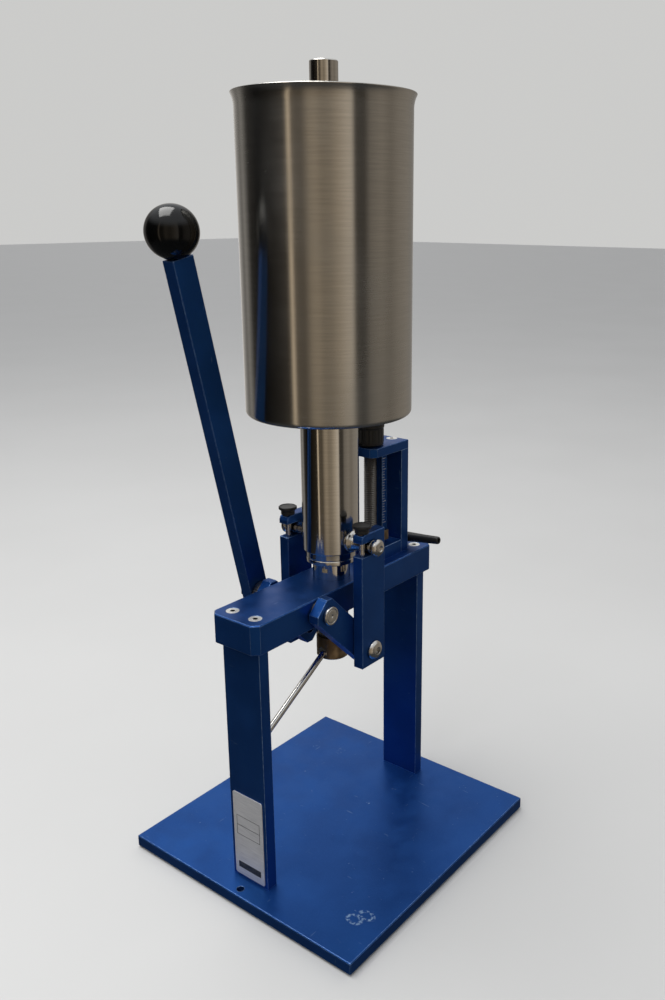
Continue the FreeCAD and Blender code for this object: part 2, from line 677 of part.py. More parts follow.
def hexagon_screw():
    """Hexagon screw from outside the lever into the pivot shaft."""
    outer = "(lever_face + lever_thick)"
    head = hexagon("hex_rad", "hex_tall", ["pivot_x", outer, PIVOT_Z], TURNS["Y"])
    reach = f"({outer} - {CRANK_OUTER} + pivot_screw_grip)"
    return join(head, rod("pivot_screw_rad", reach, ["pivot_x", outer, PIVOT_Z], "-Y"))


def draw_ball_profile(sketch):
    """Half section of the ball with a flat seat and the blind hole for its stud."""
    radius, flat = value("ball_rad"), value("ball_flat")
    seat = math.sqrt(radius ** 2 - flat ** 2)
    start = math.atan2(-flat, seat)
    arc = Part.ArcOfCircle(Part.Circle(Vector(0, 0, 0), Vector(0, 0, 1), radius), start, math.pi / 2)
    bore, end = value("stud_rad"), -value("ball_bore_end")
    corners = [Vector(0, radius, 0), Vector(0, end, 0), Vector(bore, end, 0), Vector(bore, -flat, 0),
               Vector(seat, -flat, 0)]
    sketch.addGeometry(arc, False)
    for first, second in zip(corners, corners[1:]):
        sketch.addGeometry(Part.LineSegment(first, second), False)
    sketch.addConstraint(Sketcher.Constraint("Coincident", 0, 2, 1, 1))
    for index in range(1, 4):
        sketch.addConstraint(Sketcher.Constraint("Coincident", index, 2, index + 1, 1))
    sketch.addConstraint(Sketcher.Constraint("Coincident", 4, 2, 0, 1))
    sketch.addConstraint(Sketcher.Constraint("Coincident", 0, 3, -1, 1))
    pin_point(sketch, 2, 1, ("0", "-ball_bore_end"))
    pin_point(sketch, 3, 1, ("stud_rad", "-ball_bore_end"))
    pin_point(sketch, 4, 1, ("stud_rad", "-ball_flat"))
    sketch.addConstraint(Sketcher.Constraint("PointOnObject", 0, 2, -2))
    number = sketch.addConstraint(Sketcher.Constraint("Radius", 0, radius))
    sketch.setExpression(f"Constraints[{number}]", bound("ball_rad"))


def build_link():
    """The near link with its open trunnion slot, its bolt, bush, lock pin and knob."""
    half, slot = "(link_wide / 2)", "(trunnion_rad + running_gap)"
    mid_y = f"-{LINK_MID}"
    body = new_body(["0", mid_y, TRUNNION_Z])
    foot = "(-trunnion_rise - link_under)"
    padded(body, "XZ_Plane", [
        (f"-{half}", foot), (half, foot), (half, "link_over"), (f"link_nose - {half}", "link_over"),
        (f"0.3 * link_nose - {half}", "link_over - 0.3 * link_nose"),
        (f"-{half}", "link_over - link_nose")], "link_thick")
    chamfer_edges(body, lambda a, b: abs(a.y - b.y) < 0.1, "edge_break / 2")
    pocket_all(body, "XZ_Plane", [("0", "0", slot)])
    pocket_all(body, "XZ_Plane", points=[(f"-{half} - 1", f"-{slot}"), ("0", f"-{slot}"), ("0", slot),
                                         (f"-{half} - 1", slot)])
    pocket_all(body, "XZ_Plane", [("0", "-trunnion_rise", "link_pin_rad")])
    bush_hole = rod("lock_bush_rad", f"link_over + 1 - {slot}",
                    ["lock_x", mid_y, f"{TRUNNION_Z} + {slot} - 0.5"])
    pin_hole = rod("lock_rad + running_gap", "lock_depth + 2",
                   ["lock_x", mid_y, f"{TRUNNION_Z} - {slot} - lock_depth - 1"])
    keep("near_link", cut(body, bush_hole, pin_hole))

    bush = cut(rod("lock_bush_rad", f"link_over - {slot}", ["lock_x", mid_y, f"{TRUNNION_Z} + {slot}"]),
               rod("lock_rad + running_gap", "2 * link_over", ["lock_x", mid_y, TRUNNION_Z]))
    keep("near_lock_bush", bush)
    pin_low = f"({TRUNNION_Z} - {slot} - lock_depth)"
    knob_low = f"({TRUNNION_Z} + link_over)"
    keep("near_lock_pin", rod("lock_rad", f"{knob_low} + knob_bore - {pin_low}", ["lock_x", mid_y, pin_low]))
    knob = turned([
        ("lock_rad", "0.2"), ("knob_neck - 0.4", "0.2"), ("knob_neck", "0.6"),
        ("knob_neck", "0.54 * knob_tall"), ("knob_rad - 0.6", "0.62 * knob_tall"),
        ("knob_rad", "0.68 * knob_tall"),
        ("knob_rad", "0.92 * knob_tall"), ("knob_rad - 0.8", "knob_tall"), ("0", "knob_tall"),
        ("0", "knob_bore"), ("lock_rad", "knob_bore")], ["lock_x", mid_y, knob_low])
    keep("near_lock_knob", knob)
    keep("near_link_bolt", turned([
        ("0", "-link_thick"), ("link_pin_rad", "-link_thick"), ("link_pin_rad", "0"), ("dome_rad", "0"),
        ("dome_rad", "dome_rim"), ("0.87 * dome_rad", "2 * dome_rim"),
        ("0.47 * dome_rad", "0.92 * dome_tall"), ("0", "dome_tall")],
        ["0", f"-{LINK_OUTER}", LINK_PIN_Z], "-Y"))


# ---------------------------------------------------------------- dosing cylinder, hopper and valve

def build_cylinder():
    """Dosing cylinder with its two trunnions."""
    ring_top = "tube_ring_tall"
    tube = turned([("bore_rad", "0"), ("tube_ring_rad - 0.6", "0"), ("tube_ring_rad", "0.6"),
                   ("tube_ring_rad", ring_top), ("tube_rad - 0.5", ring_top),
                   ("tube_rad", f"{ring_top} + 0.5"),
                   ("tube_rad", "hopper_low - tube_low"), ("bore_rad", "hopper_low - tube_low")],
                  ["0", "0", "tube_low"])
    keep("cylinder_tube", tube)
    near = turned([
        ("0", "0"), ("boss_rad", "0"), ("boss_rad", "tube_rad + 1"), ("trunnion_rad + 1", "tube_rad + 5"),
        ("trunnion_rad", "tube_rad + 8"), ("trunnion_rad", f"{LINK_OUTER} + 0.4"),
        ("tip_neck_rad", f"{LINK_OUTER} + 0.4"), ("tip_neck_rad", f"{LINK_OUTER} + 0.2 * tip_tall"),
        ("tip_rad - 0.6", f"{LINK_OUTER} + 0.2 * tip_tall"), ("tip_rad", f"{LINK_OUTER} + 0.38 * tip_tall"),
        ("tip_rad - 0.6", f"{LINK_OUTER} + 0.7 * tip_tall"),
        ("tip_neck_rad", f"{LINK_OUTER} + 0.92 * tip_tall"), ("0", f"{LINK_OUTER} + tip_tall")],
        ["0", "0", TRUNNION_Z], "-Y")
    room = rod("tube_rad", "4 * boss_rad", ["0", "0", f"{TRUNNION_Z} - 2 * boss_rad"])
    keep("near_trunnion", cut(near, room))


def build_hopper():
    """Spun hopper shell, inner flange, and the spring-closed inlet valve with its rod."""
    outer, wall, low, edge = "hopper_rad", "hopper_wall", "0", "hopper_edge"
    slant = f"({edge} * 0.293)"
    shell = turned([
        ("seat_rad", low), (f"{outer} - {edge}", low), (f"{outer} - {slant}", slant), (outer, edge),
        (outer, "hopper_tall - rim_tall"), (f"{outer} + 0.25 * rim_flare", "hopper_tall - rim_tall / 2"),
        (f"{outer} + rim_flare", "hopper_tall - 1"), (f"{outer} + rim_flare", "hopper_tall"),
        (f"{outer} - {wall} + rim_flare", "hopper_tall"),
        (f"{outer} - {wall} + 0.25 * rim_flare", "hopper_tall - rim_tall / 2"),
        (f"{outer} - {wall}", "hopper_tall - rim_tall"), (f"{outer} - {wall}", edge),
        (f"{outer} - {edge}", "floor_thick"), ("seat_rad", "floor_thick")], ["0", "0", "hopper_low"])
    keep("hopper_shell", shell)
    keep("hopper_flange", turned([
        ("seat_rad - 1", "0"), ("flange_rad", "0"), ("flange_rad", "flange_tall - 2"),
        ("flange_rad - 2", "flange_tall"), ("seat_rad - 1", "flange_tall")], ["0", "0", FLOOR_TOP]))
    spokes = [bar_at(["guide_hoop_in - guide_ring_rad + 2", "spoke_wide", "guide_tall"],
                     ["guide_ring_rad - 1", "-spoke_wide / 2", GUIDE_LOW], angle) for angle in (0, 120, 240)]
    middle = ["0", "0", GUIDE_LOW]
    keep("valve_guide", join(ring("guide_ring_rad", "rod_rad + running_gap", "guide_tall", middle),
                             ring("guide_hoop_out", "guide_hoop_in", "guide_tall", middle), *spokes))
    disc_low = "(hopper_low - side_gap - valve_thick)"
    rod_tall = f"(rod_top - {disc_low})"
    inner = "(rod_rad - rod_wall)"
    keep("valve_rod", turned([
        ("0", "0"), ("valve_rad - 1", "0"), ("valve_rad", "1"), ("valve_rad", "valve_thick"),
        ("rod_rad", "valve_thick"), ("rod_rad", f"{rod_tall} - 1"), ("rod_rad - 1", rod_tall),
        ("0", rod_tall), ("0", f"{rod_tall} - rod_plug"), (inner, f"{rod_tall} - rod_plug"),
        (inner, "2 * valve_thick"), ("0", "2 * valve_thick")], ["0", "0", disc_low]))
    keep("rod_collar", ring("collar_rad", "rod_rad", "collar_tall", ["0", "0", COLLAR_LOW]))
    keep("valve_spring", coil("spring_rad", "spring_wire", "spring_tall - 2 * spring_wire - 0.4", 5,
                              ["0", "0", f"{SPRING_LOW} + spring_wire + 0.2"]))


def build_piston():
    """Fixed piston with its seals on a hollow stem, the slotted nut, and the outlet below the beam."""
    stem_low = "(outlet_low + outlet_tall + 4)"
    stem_tall = f"(piston_low + 6 - {stem_low})"
    step = f"({stem_tall} - stem_step)"
    keep("piston_stem", turned([("stem_bore - 2", "0"), ("stem_rad", "0"), ("stem_rad", stem_tall),
                                ("stem_bore", stem_tall), ("stem_bore", step), ("stem_bore - 2", step)],
                               ["0", "0", stem_low]))
    face, groove = "(bore_rad - piston_gap)", "(bore_rad - piston_gap - groove_sink)"
    grooves = []
    for start in ("seal_first", "seal_second"):
        end = f"{start} + groove_tall"
        grooves += [(face, start), (groove, start), (groove, end), (face, end)]
    keep("piston_head", turned(
        [("stem_rad", "0"), (face, "0")] + grooves
        + [(face, "piston_tall - 1"), (f"{face} - 1", "piston_tall"), ("5", "piston_tall"),
           ("5", "piston_tall - 4"), ("check_ball_rad + 1", "piston_tall - 6"),
           ("check_ball_rad + 1", "6"), ("stem_rad", "6")],
        ["0", "0", "piston_low"]))
    keep("piston_seals", group(*[
        ring("bore_rad - running_gap", groove, "seal_tall", ["0", "0", f"piston_low + {start} + 0.1"])
        for start in ("seal_first", "seal_second")]))
    keep("check_ball", ball("check_ball_rad", ["0", "0", "piston_low + 18"]))
    keep("check_spring", coil("check_spring_rad", "check_spring_wire", "check_spring_tall", 6,
                              ["0", "0", "piston_low - check_spring_tall / 2 + 0.1"]))
    slots = [bar_at(["3 * nut_rad", "nut_slot_wide", "nut_slot_deep + 1"],
                    ["-1.5 * nut_rad", "-nut_slot_wide / 2", f"{BEAM_TOP} + nut_tall - nut_slot_deep"], angle)
             for angle in (20, 80, 140)]
    keep("stem_nut", cut(ring("nut_rad", "stem_rad", "nut_tall", ["0", "0", BEAM_TOP]), *slots))

    top = "(outlet_low + outlet_tall)"
    body_tall = f"({BEAM_LOW} - {top} - nozzle_seal_tall)"
    keep("nozzle_body", turned([
        ("stem_rad", "1.5"), ("stem_rad", body_tall), ("outlet_rad", body_tall), ("outlet_rad", "edge_break"),
        ("outlet_rad - edge_break", "0"), ("stem_bore", "0"), ("stem_bore", "1.5")],
        ["0", "0", f"{top} + nozzle_seal_tall"]))
    keep("nozzle_seal", ring("outlet_rad - 1.2", "stem_bore", "nozzle_seal_tall", ["0", "0", top]))
    spout = turned([("4", "0"), ("outlet_rad - 1", "0"), ("outlet_rad", "1"), ("outlet_rad", "outlet_tall"),
                    ("4", "outlet_tall")], ["0", "0", "outlet_low"])
    axis_z = "(outlet_low + plug_rise)"
    keep("outlet_spout", cut(spout, rod("plug_rad + running_gap", "2 * outlet_rad + 2",
                                        ["-outlet_rad - 1", "0", axis_z], "X")))
    handle = rod("handle_rad", "handle_long", ["-handle_start", "0", f"{axis_z} + 2 * tan(handle_slope)"],
                 turn=(Vector(0, 1, 0), -90 - value("handle_slope")))
    keep("outlet_handle", handle)
    plug = rod("plug_rad", "2 * outlet_rad - 1.2", ["0.6 - outlet_rad", "0", axis_z], "X")
    bore = rod("plug_bore", "4 * plug_rad", ["0", "0", f"{axis_z} - 2 * plug_rad"])
    keep("outlet_plug", cut(plug, bore, handle))


# ---------------------------------------------------------------- volume adjuster

def build_adjuster():
    """Spindle frame on the beam, with guide bar, knob and clamp lever."""
    wide = "adjust_wide"
    low_y = "-adjust_wide / 2"
    clamp_z = f"({BEAM_TOP} + clamp_rise)"
    foot = box(["adjust_long - adjust_post", wide, "adjust_foot"], ["adjust_x", low_y, BEAM_TOP])
    keep("adjuster_foot", cut(
        foot, rod("spindle_rad + running_gap", "adjust_foot", ["spindle_x", "0", BEAM_TOP]),
        rod("clamp_screw_rad + drill_gap", "adjust_long", ["spindle_x", "0", clamp_z], "X"),
        *[rod("small_screw_rad + drill_gap", "adjust_foot - 2.5", [x, y, BEAM_TOP]) for x, y in FOOT_SCREWS]))
    keep("foot_screws", group(*[
        join(rod("small_cap_rad", "small_cap_tall", [x, y, f"{BEAM_LOW} + 0.4"]),
             rod("small_screw_rad", "beam_tall + 8", [x, y, f"{BEAM_LOW} + 1"])) for x, y in FOOT_SCREWS]))
    post_x = f"({ADJUST_END} - adjust_post)"
    post = box(["adjust_post", wide, "adjust_tall - adjust_plate"], [post_x, low_y, BEAM_TOP])
    keep("adjuster_post", cut(
        post, rod("clamp_screw_rad + drill_gap", "adjust_post + 2", [f"{post_x} - 1", "0", clamp_z], "X"),
        rod("small_screw_rad + drill_gap", "plate_screw_long", [PLATE_SCREW_X, "0", f"{PLATE_LOW} - 18"])))
    plate = new_body(["0", "0", f"{PLATE_LOW} + adjust_plate / 2"])
    half, corner = "(adjust_wide / 2)", "5"
    padded(plate, "XY_Plane", [
        (f"adjust_x + {corner}", f"-{half}"), (ADJUST_END, f"-{half}"), (ADJUST_END, half),
        (f"adjust_x + {corner}", half), ("adjust_x", f"{half} - {corner}"),
        ("adjust_x", f"{corner} - {half}")], "adjust_plate")
    chamfer_edges(plate, lambda a, b: a.z > 0 and b.z > 0, "edge_break / 2")
    pocket_all(plate, "XY_Plane", [("spindle_x", "0", "spindle_rad + side_gap"),
                                   (PLATE_SCREW_X, "0", "small_screw_rad + drill_gap")])
    plate_top = f"({PLATE_LOW} + adjust_plate)"
    screw = (PLATE_SCREW_X, "0", plate_top, "small_screw_rad", "small_head_rad", "small_sink")
    keep("adjuster_plate", cut(plate, countersink(*screw)))
    keep("plate_screw", countersunk(*screw, "plate_screw_long"))
    keep("guide_bar", box(["guide_long", "guide_wide", f"{PLATE_LOW} - {BEAM_TOP} - adjust_foot"],
                          ["guide_x", "-guide_wide / 2", f"{BEAM_TOP} + adjust_foot"]))
    spindle_low = f"({BEAM_LOW} + 2)"
    spindle_top = f"({DIAL_LOW} + dial_tall - 2)"
    keep("adjuster_spindle", rod("spindle_rad", f"{spindle_top} - {spindle_low}",
                                 ["spindle_x", "0", spindle_low]))
    shoe_low = f"({BEAM_TOP} + adjust_foot + shoe_rise)"
    shoe = box(["shoe_long", "shoe_wide", "shoe_tall"],
               ["spindle_x - shoe_start", "-shoe_wide / 2", shoe_low])
    keep("guide_shoe", cut(shoe, rod("spindle_rad", "shoe_tall", ["spindle_x", "0", shoe_low]),
                           box(["guide_long + 4", "guide_wide + 2 * side_gap", "shoe_tall"],
                               ["guide_x - side_gap", "-guide_wide / 2 - side_gap", shoe_low])))
    inner = "(spindle_rad + running_gap)"
    keep("adjuster_knob", turned([(inner, "0"), ("dial_rad - 0.6", "0"), ("dial_rad", "0.6"),
                                  ("dial_rad", "dial_tall - 4"), ("dial_rad + 0.5", "dial_tall - 3.6"),
                                  ("dial_rad + 0.5", "dial_tall - 0.8"), ("dial_rad - 0.4", "dial_tall"),
                                  (inner, "dial_tall")], ["spindle_x", "0", DIAL_LOW]))
    tip = "(spindle_x + spindle_rad + side_gap)"
    keep("clamp_screw", rod("clamp_screw_rad", f"{ADJUST_END} + 10 - {tip}", [tip, "0", clamp_z], "X"))
    hub = rod("clamp_hub_rad", "clamp_hub_long", [f"{ADJUST_END} + 0.6", "0", clamp_z], "X")
    arm = cone("clamp_root_rad", "clamp_tip_rad", "clamp_reach", [f"{ADJUST_END} + 10", "0", clamp_z],
               (Vector(1, 0, 0), value("clamp_lean")))
    keep("clamp_handle", cut(join(hub, arm),
                             rod("clamp_screw_rad", "10.1", [f"{ADJUST_END} - 0.1", "0", clamp_z], "X")))


# ---------------------------------------------------------------- build, check and write

def build():
    """Build every piece."""
    fill_sheet()
    build_base()
    build_upright("front_upright", "-")
    build_upright("rear_upright", "")
    build_beam()
    build_name_plate()
    build_lever()
    build_link()
    build_cylinder()
    build_hopper()
    build_piston()
    build_adjuster()
    for name in [label for label in nodes if label.startswith(("near_link", "near_lock", "near_trunnion"))]:
        keep(name.replace("near", "far"), flipped(nodes[name]))
    doc.recompute()


def check():
    """Stop at any feature that failed and any piece that is empty or not valid."""
    for item in doc.Objects:
        if "Invalid" in item.State or "Error" in item.State:
            raise RuntimeError(f"{item.Name} ({item.Label}) failed: {item.State}")
    for label, item in nodes.items():
        shape = item.Shape
        if shape.isNull() or not shape.isValid() or not shape.Solids:
            raise RuntimeError(f"{label} has no valid solid")


def write():
    """Write one STEP file for each piece."""
    os.makedirs("parts", exist_ok=True)
    for label, item in nodes.items():
        item.Shape.exportStep(os.path.join("parts", label + ".step"))
    print(f"{len(nodes)} pieces written")


build()
check()
write()
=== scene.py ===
"""Looks of the lever-operated piston liquid filler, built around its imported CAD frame."""
import json
import math

import bmesh
import bpy
from mathutils import Matrix, Vector


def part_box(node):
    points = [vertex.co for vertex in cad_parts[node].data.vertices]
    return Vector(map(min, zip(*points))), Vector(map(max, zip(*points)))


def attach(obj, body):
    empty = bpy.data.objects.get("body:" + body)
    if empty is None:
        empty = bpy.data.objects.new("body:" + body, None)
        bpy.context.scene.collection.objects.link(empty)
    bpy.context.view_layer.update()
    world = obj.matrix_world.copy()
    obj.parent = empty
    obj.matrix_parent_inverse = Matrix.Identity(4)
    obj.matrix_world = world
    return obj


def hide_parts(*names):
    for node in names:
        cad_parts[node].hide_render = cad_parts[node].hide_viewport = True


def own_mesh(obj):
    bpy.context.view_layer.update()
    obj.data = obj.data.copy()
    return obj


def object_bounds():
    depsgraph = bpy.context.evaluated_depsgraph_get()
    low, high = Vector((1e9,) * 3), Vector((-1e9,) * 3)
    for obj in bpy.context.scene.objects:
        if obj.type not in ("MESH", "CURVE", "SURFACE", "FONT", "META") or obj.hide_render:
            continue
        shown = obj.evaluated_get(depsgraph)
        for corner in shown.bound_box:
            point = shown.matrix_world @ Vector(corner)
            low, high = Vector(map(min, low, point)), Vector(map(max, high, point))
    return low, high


MM = 0.001
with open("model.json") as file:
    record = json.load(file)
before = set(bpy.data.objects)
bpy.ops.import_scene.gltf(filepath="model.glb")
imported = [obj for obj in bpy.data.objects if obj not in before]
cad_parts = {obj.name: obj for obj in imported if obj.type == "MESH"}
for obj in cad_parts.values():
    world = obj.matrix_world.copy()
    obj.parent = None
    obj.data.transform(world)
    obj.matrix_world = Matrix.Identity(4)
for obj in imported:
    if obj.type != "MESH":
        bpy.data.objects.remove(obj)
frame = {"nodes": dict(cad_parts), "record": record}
cad_low, cad_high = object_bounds()

# Camera: place in metres, then turn, dip and roll in degrees, and its projection.
CAMERA_PLACE = Vector((-0.5683, -0.4930, 0.5582))
CAMERA_TURN = 36.82
CAMERA_DIP = 15.92
CAMERA_ROLL = 0.22
FOCAL_SHARE = 0.9285
SHIFT = (-0.0619, -0.0244)
SENSOR = 36.0
CLIP = (0.05, 40)

# How finely pieces are made: points round a turned piece, and steps in a rounded corner,
# the hopper's foot, the hopper's rim, the lever's ball and one turn of thread or wire.
SEGMENTS = 96
FILLET_STEPS = 4
FOOT_STEPS = 6
RIM_STEPS = 8
BALL_STEPS = 40
THREAD_SIDES = 48
THREAD_ROWS = 6
COIL_STEPS = 36
WIRE_SIDES = 10
TINY = 1e-6

UP = Vector((0, 0, 1))
NEAR = Vector((0, -1, 0))
FAR = Vector((0, 1, 0))
ALONG = Vector((1, 0, 0))

# Colours, in linear light.
BLUE = (0.012, 0.06, 0.24)
BLUE_DEEP = (0.0085, 0.058, 0.238)
BLUE_LIGHTER = (0.0115, 0.072, 0.282)
BLUE_GRAIN = (0.03, 0.12, 0.38)
# Pale blue of the painted highlight along the edges of the blue parts.
BLUE_EDGE_HIGHLIGHT = (0.40, 0.60, 0.92)
BLUE_SCRATCHED = (0.28, 0.42, 0.62)
STEEL_SMUDGE = (0.42, 0.42, 0.39)
# Painted highlight along the edges of spun and turned steel.
STEEL_EDGE_HIGHLIGHT = (0.86, 0.85, 0.82)
# Painted highlight along the edges of screws, pins and rings.
SCREW_EDGE_HIGHLIGHT = (0.9, 0.89, 0.86)
# Painted shade in the crevices and sockets of screws, pins and rings.
CREVICE_SHADE = (0.02, 0.02, 0.022)
BRONZE = (0.30, 0.21, 0.12)
BRONZE_DARK = (0.22, 0.155, 0.09)
BRONZE_CLEAN = (0.42, 0.31, 0.19)
# Painted highlight along the edges of bronze parts.
BRONZE_EDGE_HIGHLIGHT = (0.66, 0.52, 0.34)
SILVER = (0.62, 0.62, 0.63)
SILVER_DARK = (0.50, 0.50, 0.52)
SILVER_LIGHT = (0.66, 0.66, 0.67)
SILVER_DULL = (0.42, 0.43, 0.44)
# Painted highlight along the edges of the silver plate and marks.
SILVER_EDGE_HIGHLIGHT = (0.85, 0.85, 0.86)
INK = (0.02, 0.02, 0.022)
INK_DARK = (0.012, 0.012, 0.014)
INK_FADED = (0.06, 0.06, 0.065)
FLOOR = (0.62, 0.62, 0.61)
FLOOR_DARK = (0.545, 0.545, 0.54)
FLOOR_LIGHT = (0.56, 0.56, 0.555)
OVERHEAD = (0.80, 0.82, 0.85, 1)
UNDERFOOT = (0.05, 0.053, 0.056, 1)
BACKDROP = (0.60, 0.60, 0.59, 1)

# Directions of the three sets of hairline scratches: each is thin where its number is large.
SCRATCH_STRETCHES = ((1, 14, 14), (14, 1, 14), (9, 6, 1))
SCRATCH_WIDTH = 0.02


def middle(node):
    """The centre of a CAD node's box."""
    low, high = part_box(node)
    return (low + high) / 2


def upright(node):
    """An upright turned node: its low corner in metres, then its height and radius in mm."""
    low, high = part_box(node)
    return low, (high.z - low.z) / MM, (high.x - low.x) / 2 / MM


def reach_of(node):
    """How far a node reaches sideways from the middle plane, in millimetres."""
    low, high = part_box(node)
    return max(abs(low.y), abs(high.y)) / MM


def joint_record(name):
    """What the record says about a joint."""
    return next(joint for joint in frame["record"]["behaviour"]["joints"] if joint["name"] == name)


# ---------------------------------------------------------------- materials

class Look:
    """A procedural material: one Principled shader and the nodes that feed it."""

    def __init__(self, name, colour, metallic, roughness):
        self.material = bpy.data.materials.new(name)
        self.material.use_nodes = True
        self.tree = self.material.node_tree
        self.shader = self.tree.nodes["Principled BSDF"]
        self.shader.inputs["Base Color"].default_value = (*colour, 1)
        self.shader.inputs["Metallic"].default_value = metallic
        self.shader.inputs["Roughness"].default_value = roughness
        self.place = self.add("ShaderNodeTexCoord").outputs["Object"]

    def add(self, kind, **settings):
        """A new node with some of its settings changed."""
        node = self.tree.nodes.new(kind)
        for name, value in settings.items():
            setattr(node, name, value)
        return node

    def put(self, source, target):
        """Link an output to an input, or set the input to a constant."""
        if isinstance(source, bpy.types.NodeSocket):
            self.tree.links.new(source, target)
        else:
            target.default_value = source

    def math(self, operation, first, second=0.0, clamp=False):
        """One sum on two numbers."""
        node = self.add("ShaderNodeMath", operation=operation, use_clamp=clamp)
        self.put(first, node.inputs[0])
        self.put(second, node.inputs[1])
        return node.outputs[0]

    def vector_math(self, operation, first, second=(0, 0, 0), output="Vector"):
        """One sum on two vectors."""
        node = self.add("ShaderNodeVectorMath", operation=operation)
        self.put(first, node.inputs[0])
        self.put(second, node.inputs[1])
        return node.outputs[output]

    def noise(self, scale, stretch=(1, 1, 1), detail=4.0, shift=(0, 0, 0)):
        """Cloudy noise over the object, with features of about 1/scale metres."""
        mapping = self.add("ShaderNodeMapping")
        self.put(self.place, mapping.inputs["Vector"])
        mapping.inputs["Scale"].default_value = stretch
        mapping.inputs["Location"].default_value = shift
        node = self.add("ShaderNodeTexNoise")
        self.put(mapping.outputs[0], node.inputs["Vector"])
        node.inputs["Scale"].default_value = scale
        node.inputs["Detail"].default_value = detail
        return node.outputs["Fac"]

    def levels(self, source, low, high, to_low=0.0, to_high=1.0):
        """Map a range of values to another and clamp it."""
        node = self.add("ShaderNodeMapRange", interpolation_type="SMOOTHSTEP")
        self.put(source, node.inputs["Value"])
        limits = {"From Min": low, "From Max": high, "To Min": to_low, "To Max": to_high}
        for name, value in limits.items():
            node.inputs[name].default_value = value
        return node.outputs["Result"]

    def mix(self, share, first, second):
        """Blend two colours."""
        node = self.add("ShaderNodeMix", data_type="RGBA")
        self.put(share, node.inputs["Factor"])
        for source, target in ((first, node.inputs[6]), (second, node.inputs[7])):
            self.put((*source, 1) if isinstance(source, tuple) else source, target)
        return node.outputs[2]

    def soft_edge(self, radius):
        """The normal with edges rounded, and how strongly each point is on an edge."""
        bevel = self.add("ShaderNodeBevel", samples=6)
        bevel.inputs["Radius"].default_value = radius
        flat = self.add("ShaderNodeNewGeometry").outputs["Normal"]
        agree = self.vector_math("DOT_PRODUCT", bevel.outputs[0], flat, "Value")
        edge = self.levels(self.math("SUBTRACT", 1.0, agree), 0.01, 0.16)
        return bevel.outputs[0], edge

    def bump(self, height, strength, depth, normal=None):
        """Raise the surface by a height map, given its depth in metres."""
        node = self.add("ShaderNodeBump")
        node.inputs["Strength"].default_value = strength
        node.inputs["Distance"].default_value = depth
        self.put(height, node.inputs["Height"])
        if normal is not None:
            self.put(normal, node.inputs["Normal"])
        return node.outputs[0]

    def finish(self, colour=None, roughness=None, normal=None, **sockets):
        """Feed the shader and return the material."""
        for name, source in (("Base Color", colour), ("Roughness", roughness), ("Normal", normal)):
            if source is not None:
                self.put(source, self.shader.inputs[name])
        for name, value in sockets.items():
            self.shader.inputs[name.replace("_", " ")].default_value = value
        return self.material

    def scratches(self, density):
        """Thin sparse lines in three directions."""
        total = 0.0
        for stretch in SCRATCH_STRETCHES:
            cloud = self.noise(46, stretch, 2.0, (stretch[1], 3, 1))
            line = self.levels(cloud, density, density + SCRATCH_WIDTH)
            total = self.math("ADD", total, line, True)
        broken = self.levels(self.noise(70, detail=2.0), 0.5, 0.62)
        return self.math("MULTIPLY", total, broken)


def blue_anodised(name="blue_anodised_finish", scuffs=()):
    """Satin blue anodising, with a painted highlight along its edges broken into patches, hairline
    scratches and mottling.
    """
    look = Look(name, BLUE, 0.82, 0.4)
    normal, edge = look.soft_edge(0.0009)
    mottle = look.levels(look.noise(22, detail=3.0), 0.35, 0.68)
    tone = look.mix(mottle, BLUE_DEEP, BLUE_LIGHTER)
    grain = look.noise(1800, detail=2.0)
    tone = look.mix(look.levels(grain, 0.3, 0.75, 0.0, 0.22), tone, BLUE_GRAIN)
    patches = look.levels(look.noise(240, detail=3.0), 0.40, 0.62, 0.5, 1.0)
    # Painted highlight: pale blue along the edges, broken into patches.
    tone = look.mix(look.math("MULTIPLY", edge, patches), tone, BLUE_EDGE_HIGHLIGHT)
    marks = look.math("MULTIPLY", look.scratches(0.72), 0.28)
    for place, size in scuffs:
        marks = look.math("ADD", marks, scuff(look, place, size), True)
    tone = look.mix(marks, tone, BLUE_SCRATCHED)
    rough = look.levels(look.noise(60, detail=3.0), 0.3, 0.7, 0.33, 0.46)
    rough = look.math("ADD", rough, look.math("MULTIPLY", marks, 0.12))
    normal = look.bump(grain, 0.12, 0.00006, normal)
    return look.finish(tone, rough, normal, Specular_IOR_Level=0.25)


def scuff(look, place, size):
    """A worn oval ring round a point, broken up by noise."""
    offset = look.vector_math("SUBTRACT", look.place, place)
    scaled = look.vector_math("DIVIDE", offset, size)
    length = look.vector_math("LENGTH", scaled, output="Value")
    away = look.math("ABSOLUTE", look.math("SUBTRACT", length, 1.0))
    ring = look.levels(away, 0.08, 0.42, 1.0, 0.0)
    gaps = look.levels(look.noise(420, detail=2.0), 0.42, 0.62, 0.0, 0.85)
    return look.math("MULTIPLY", ring, gaps)


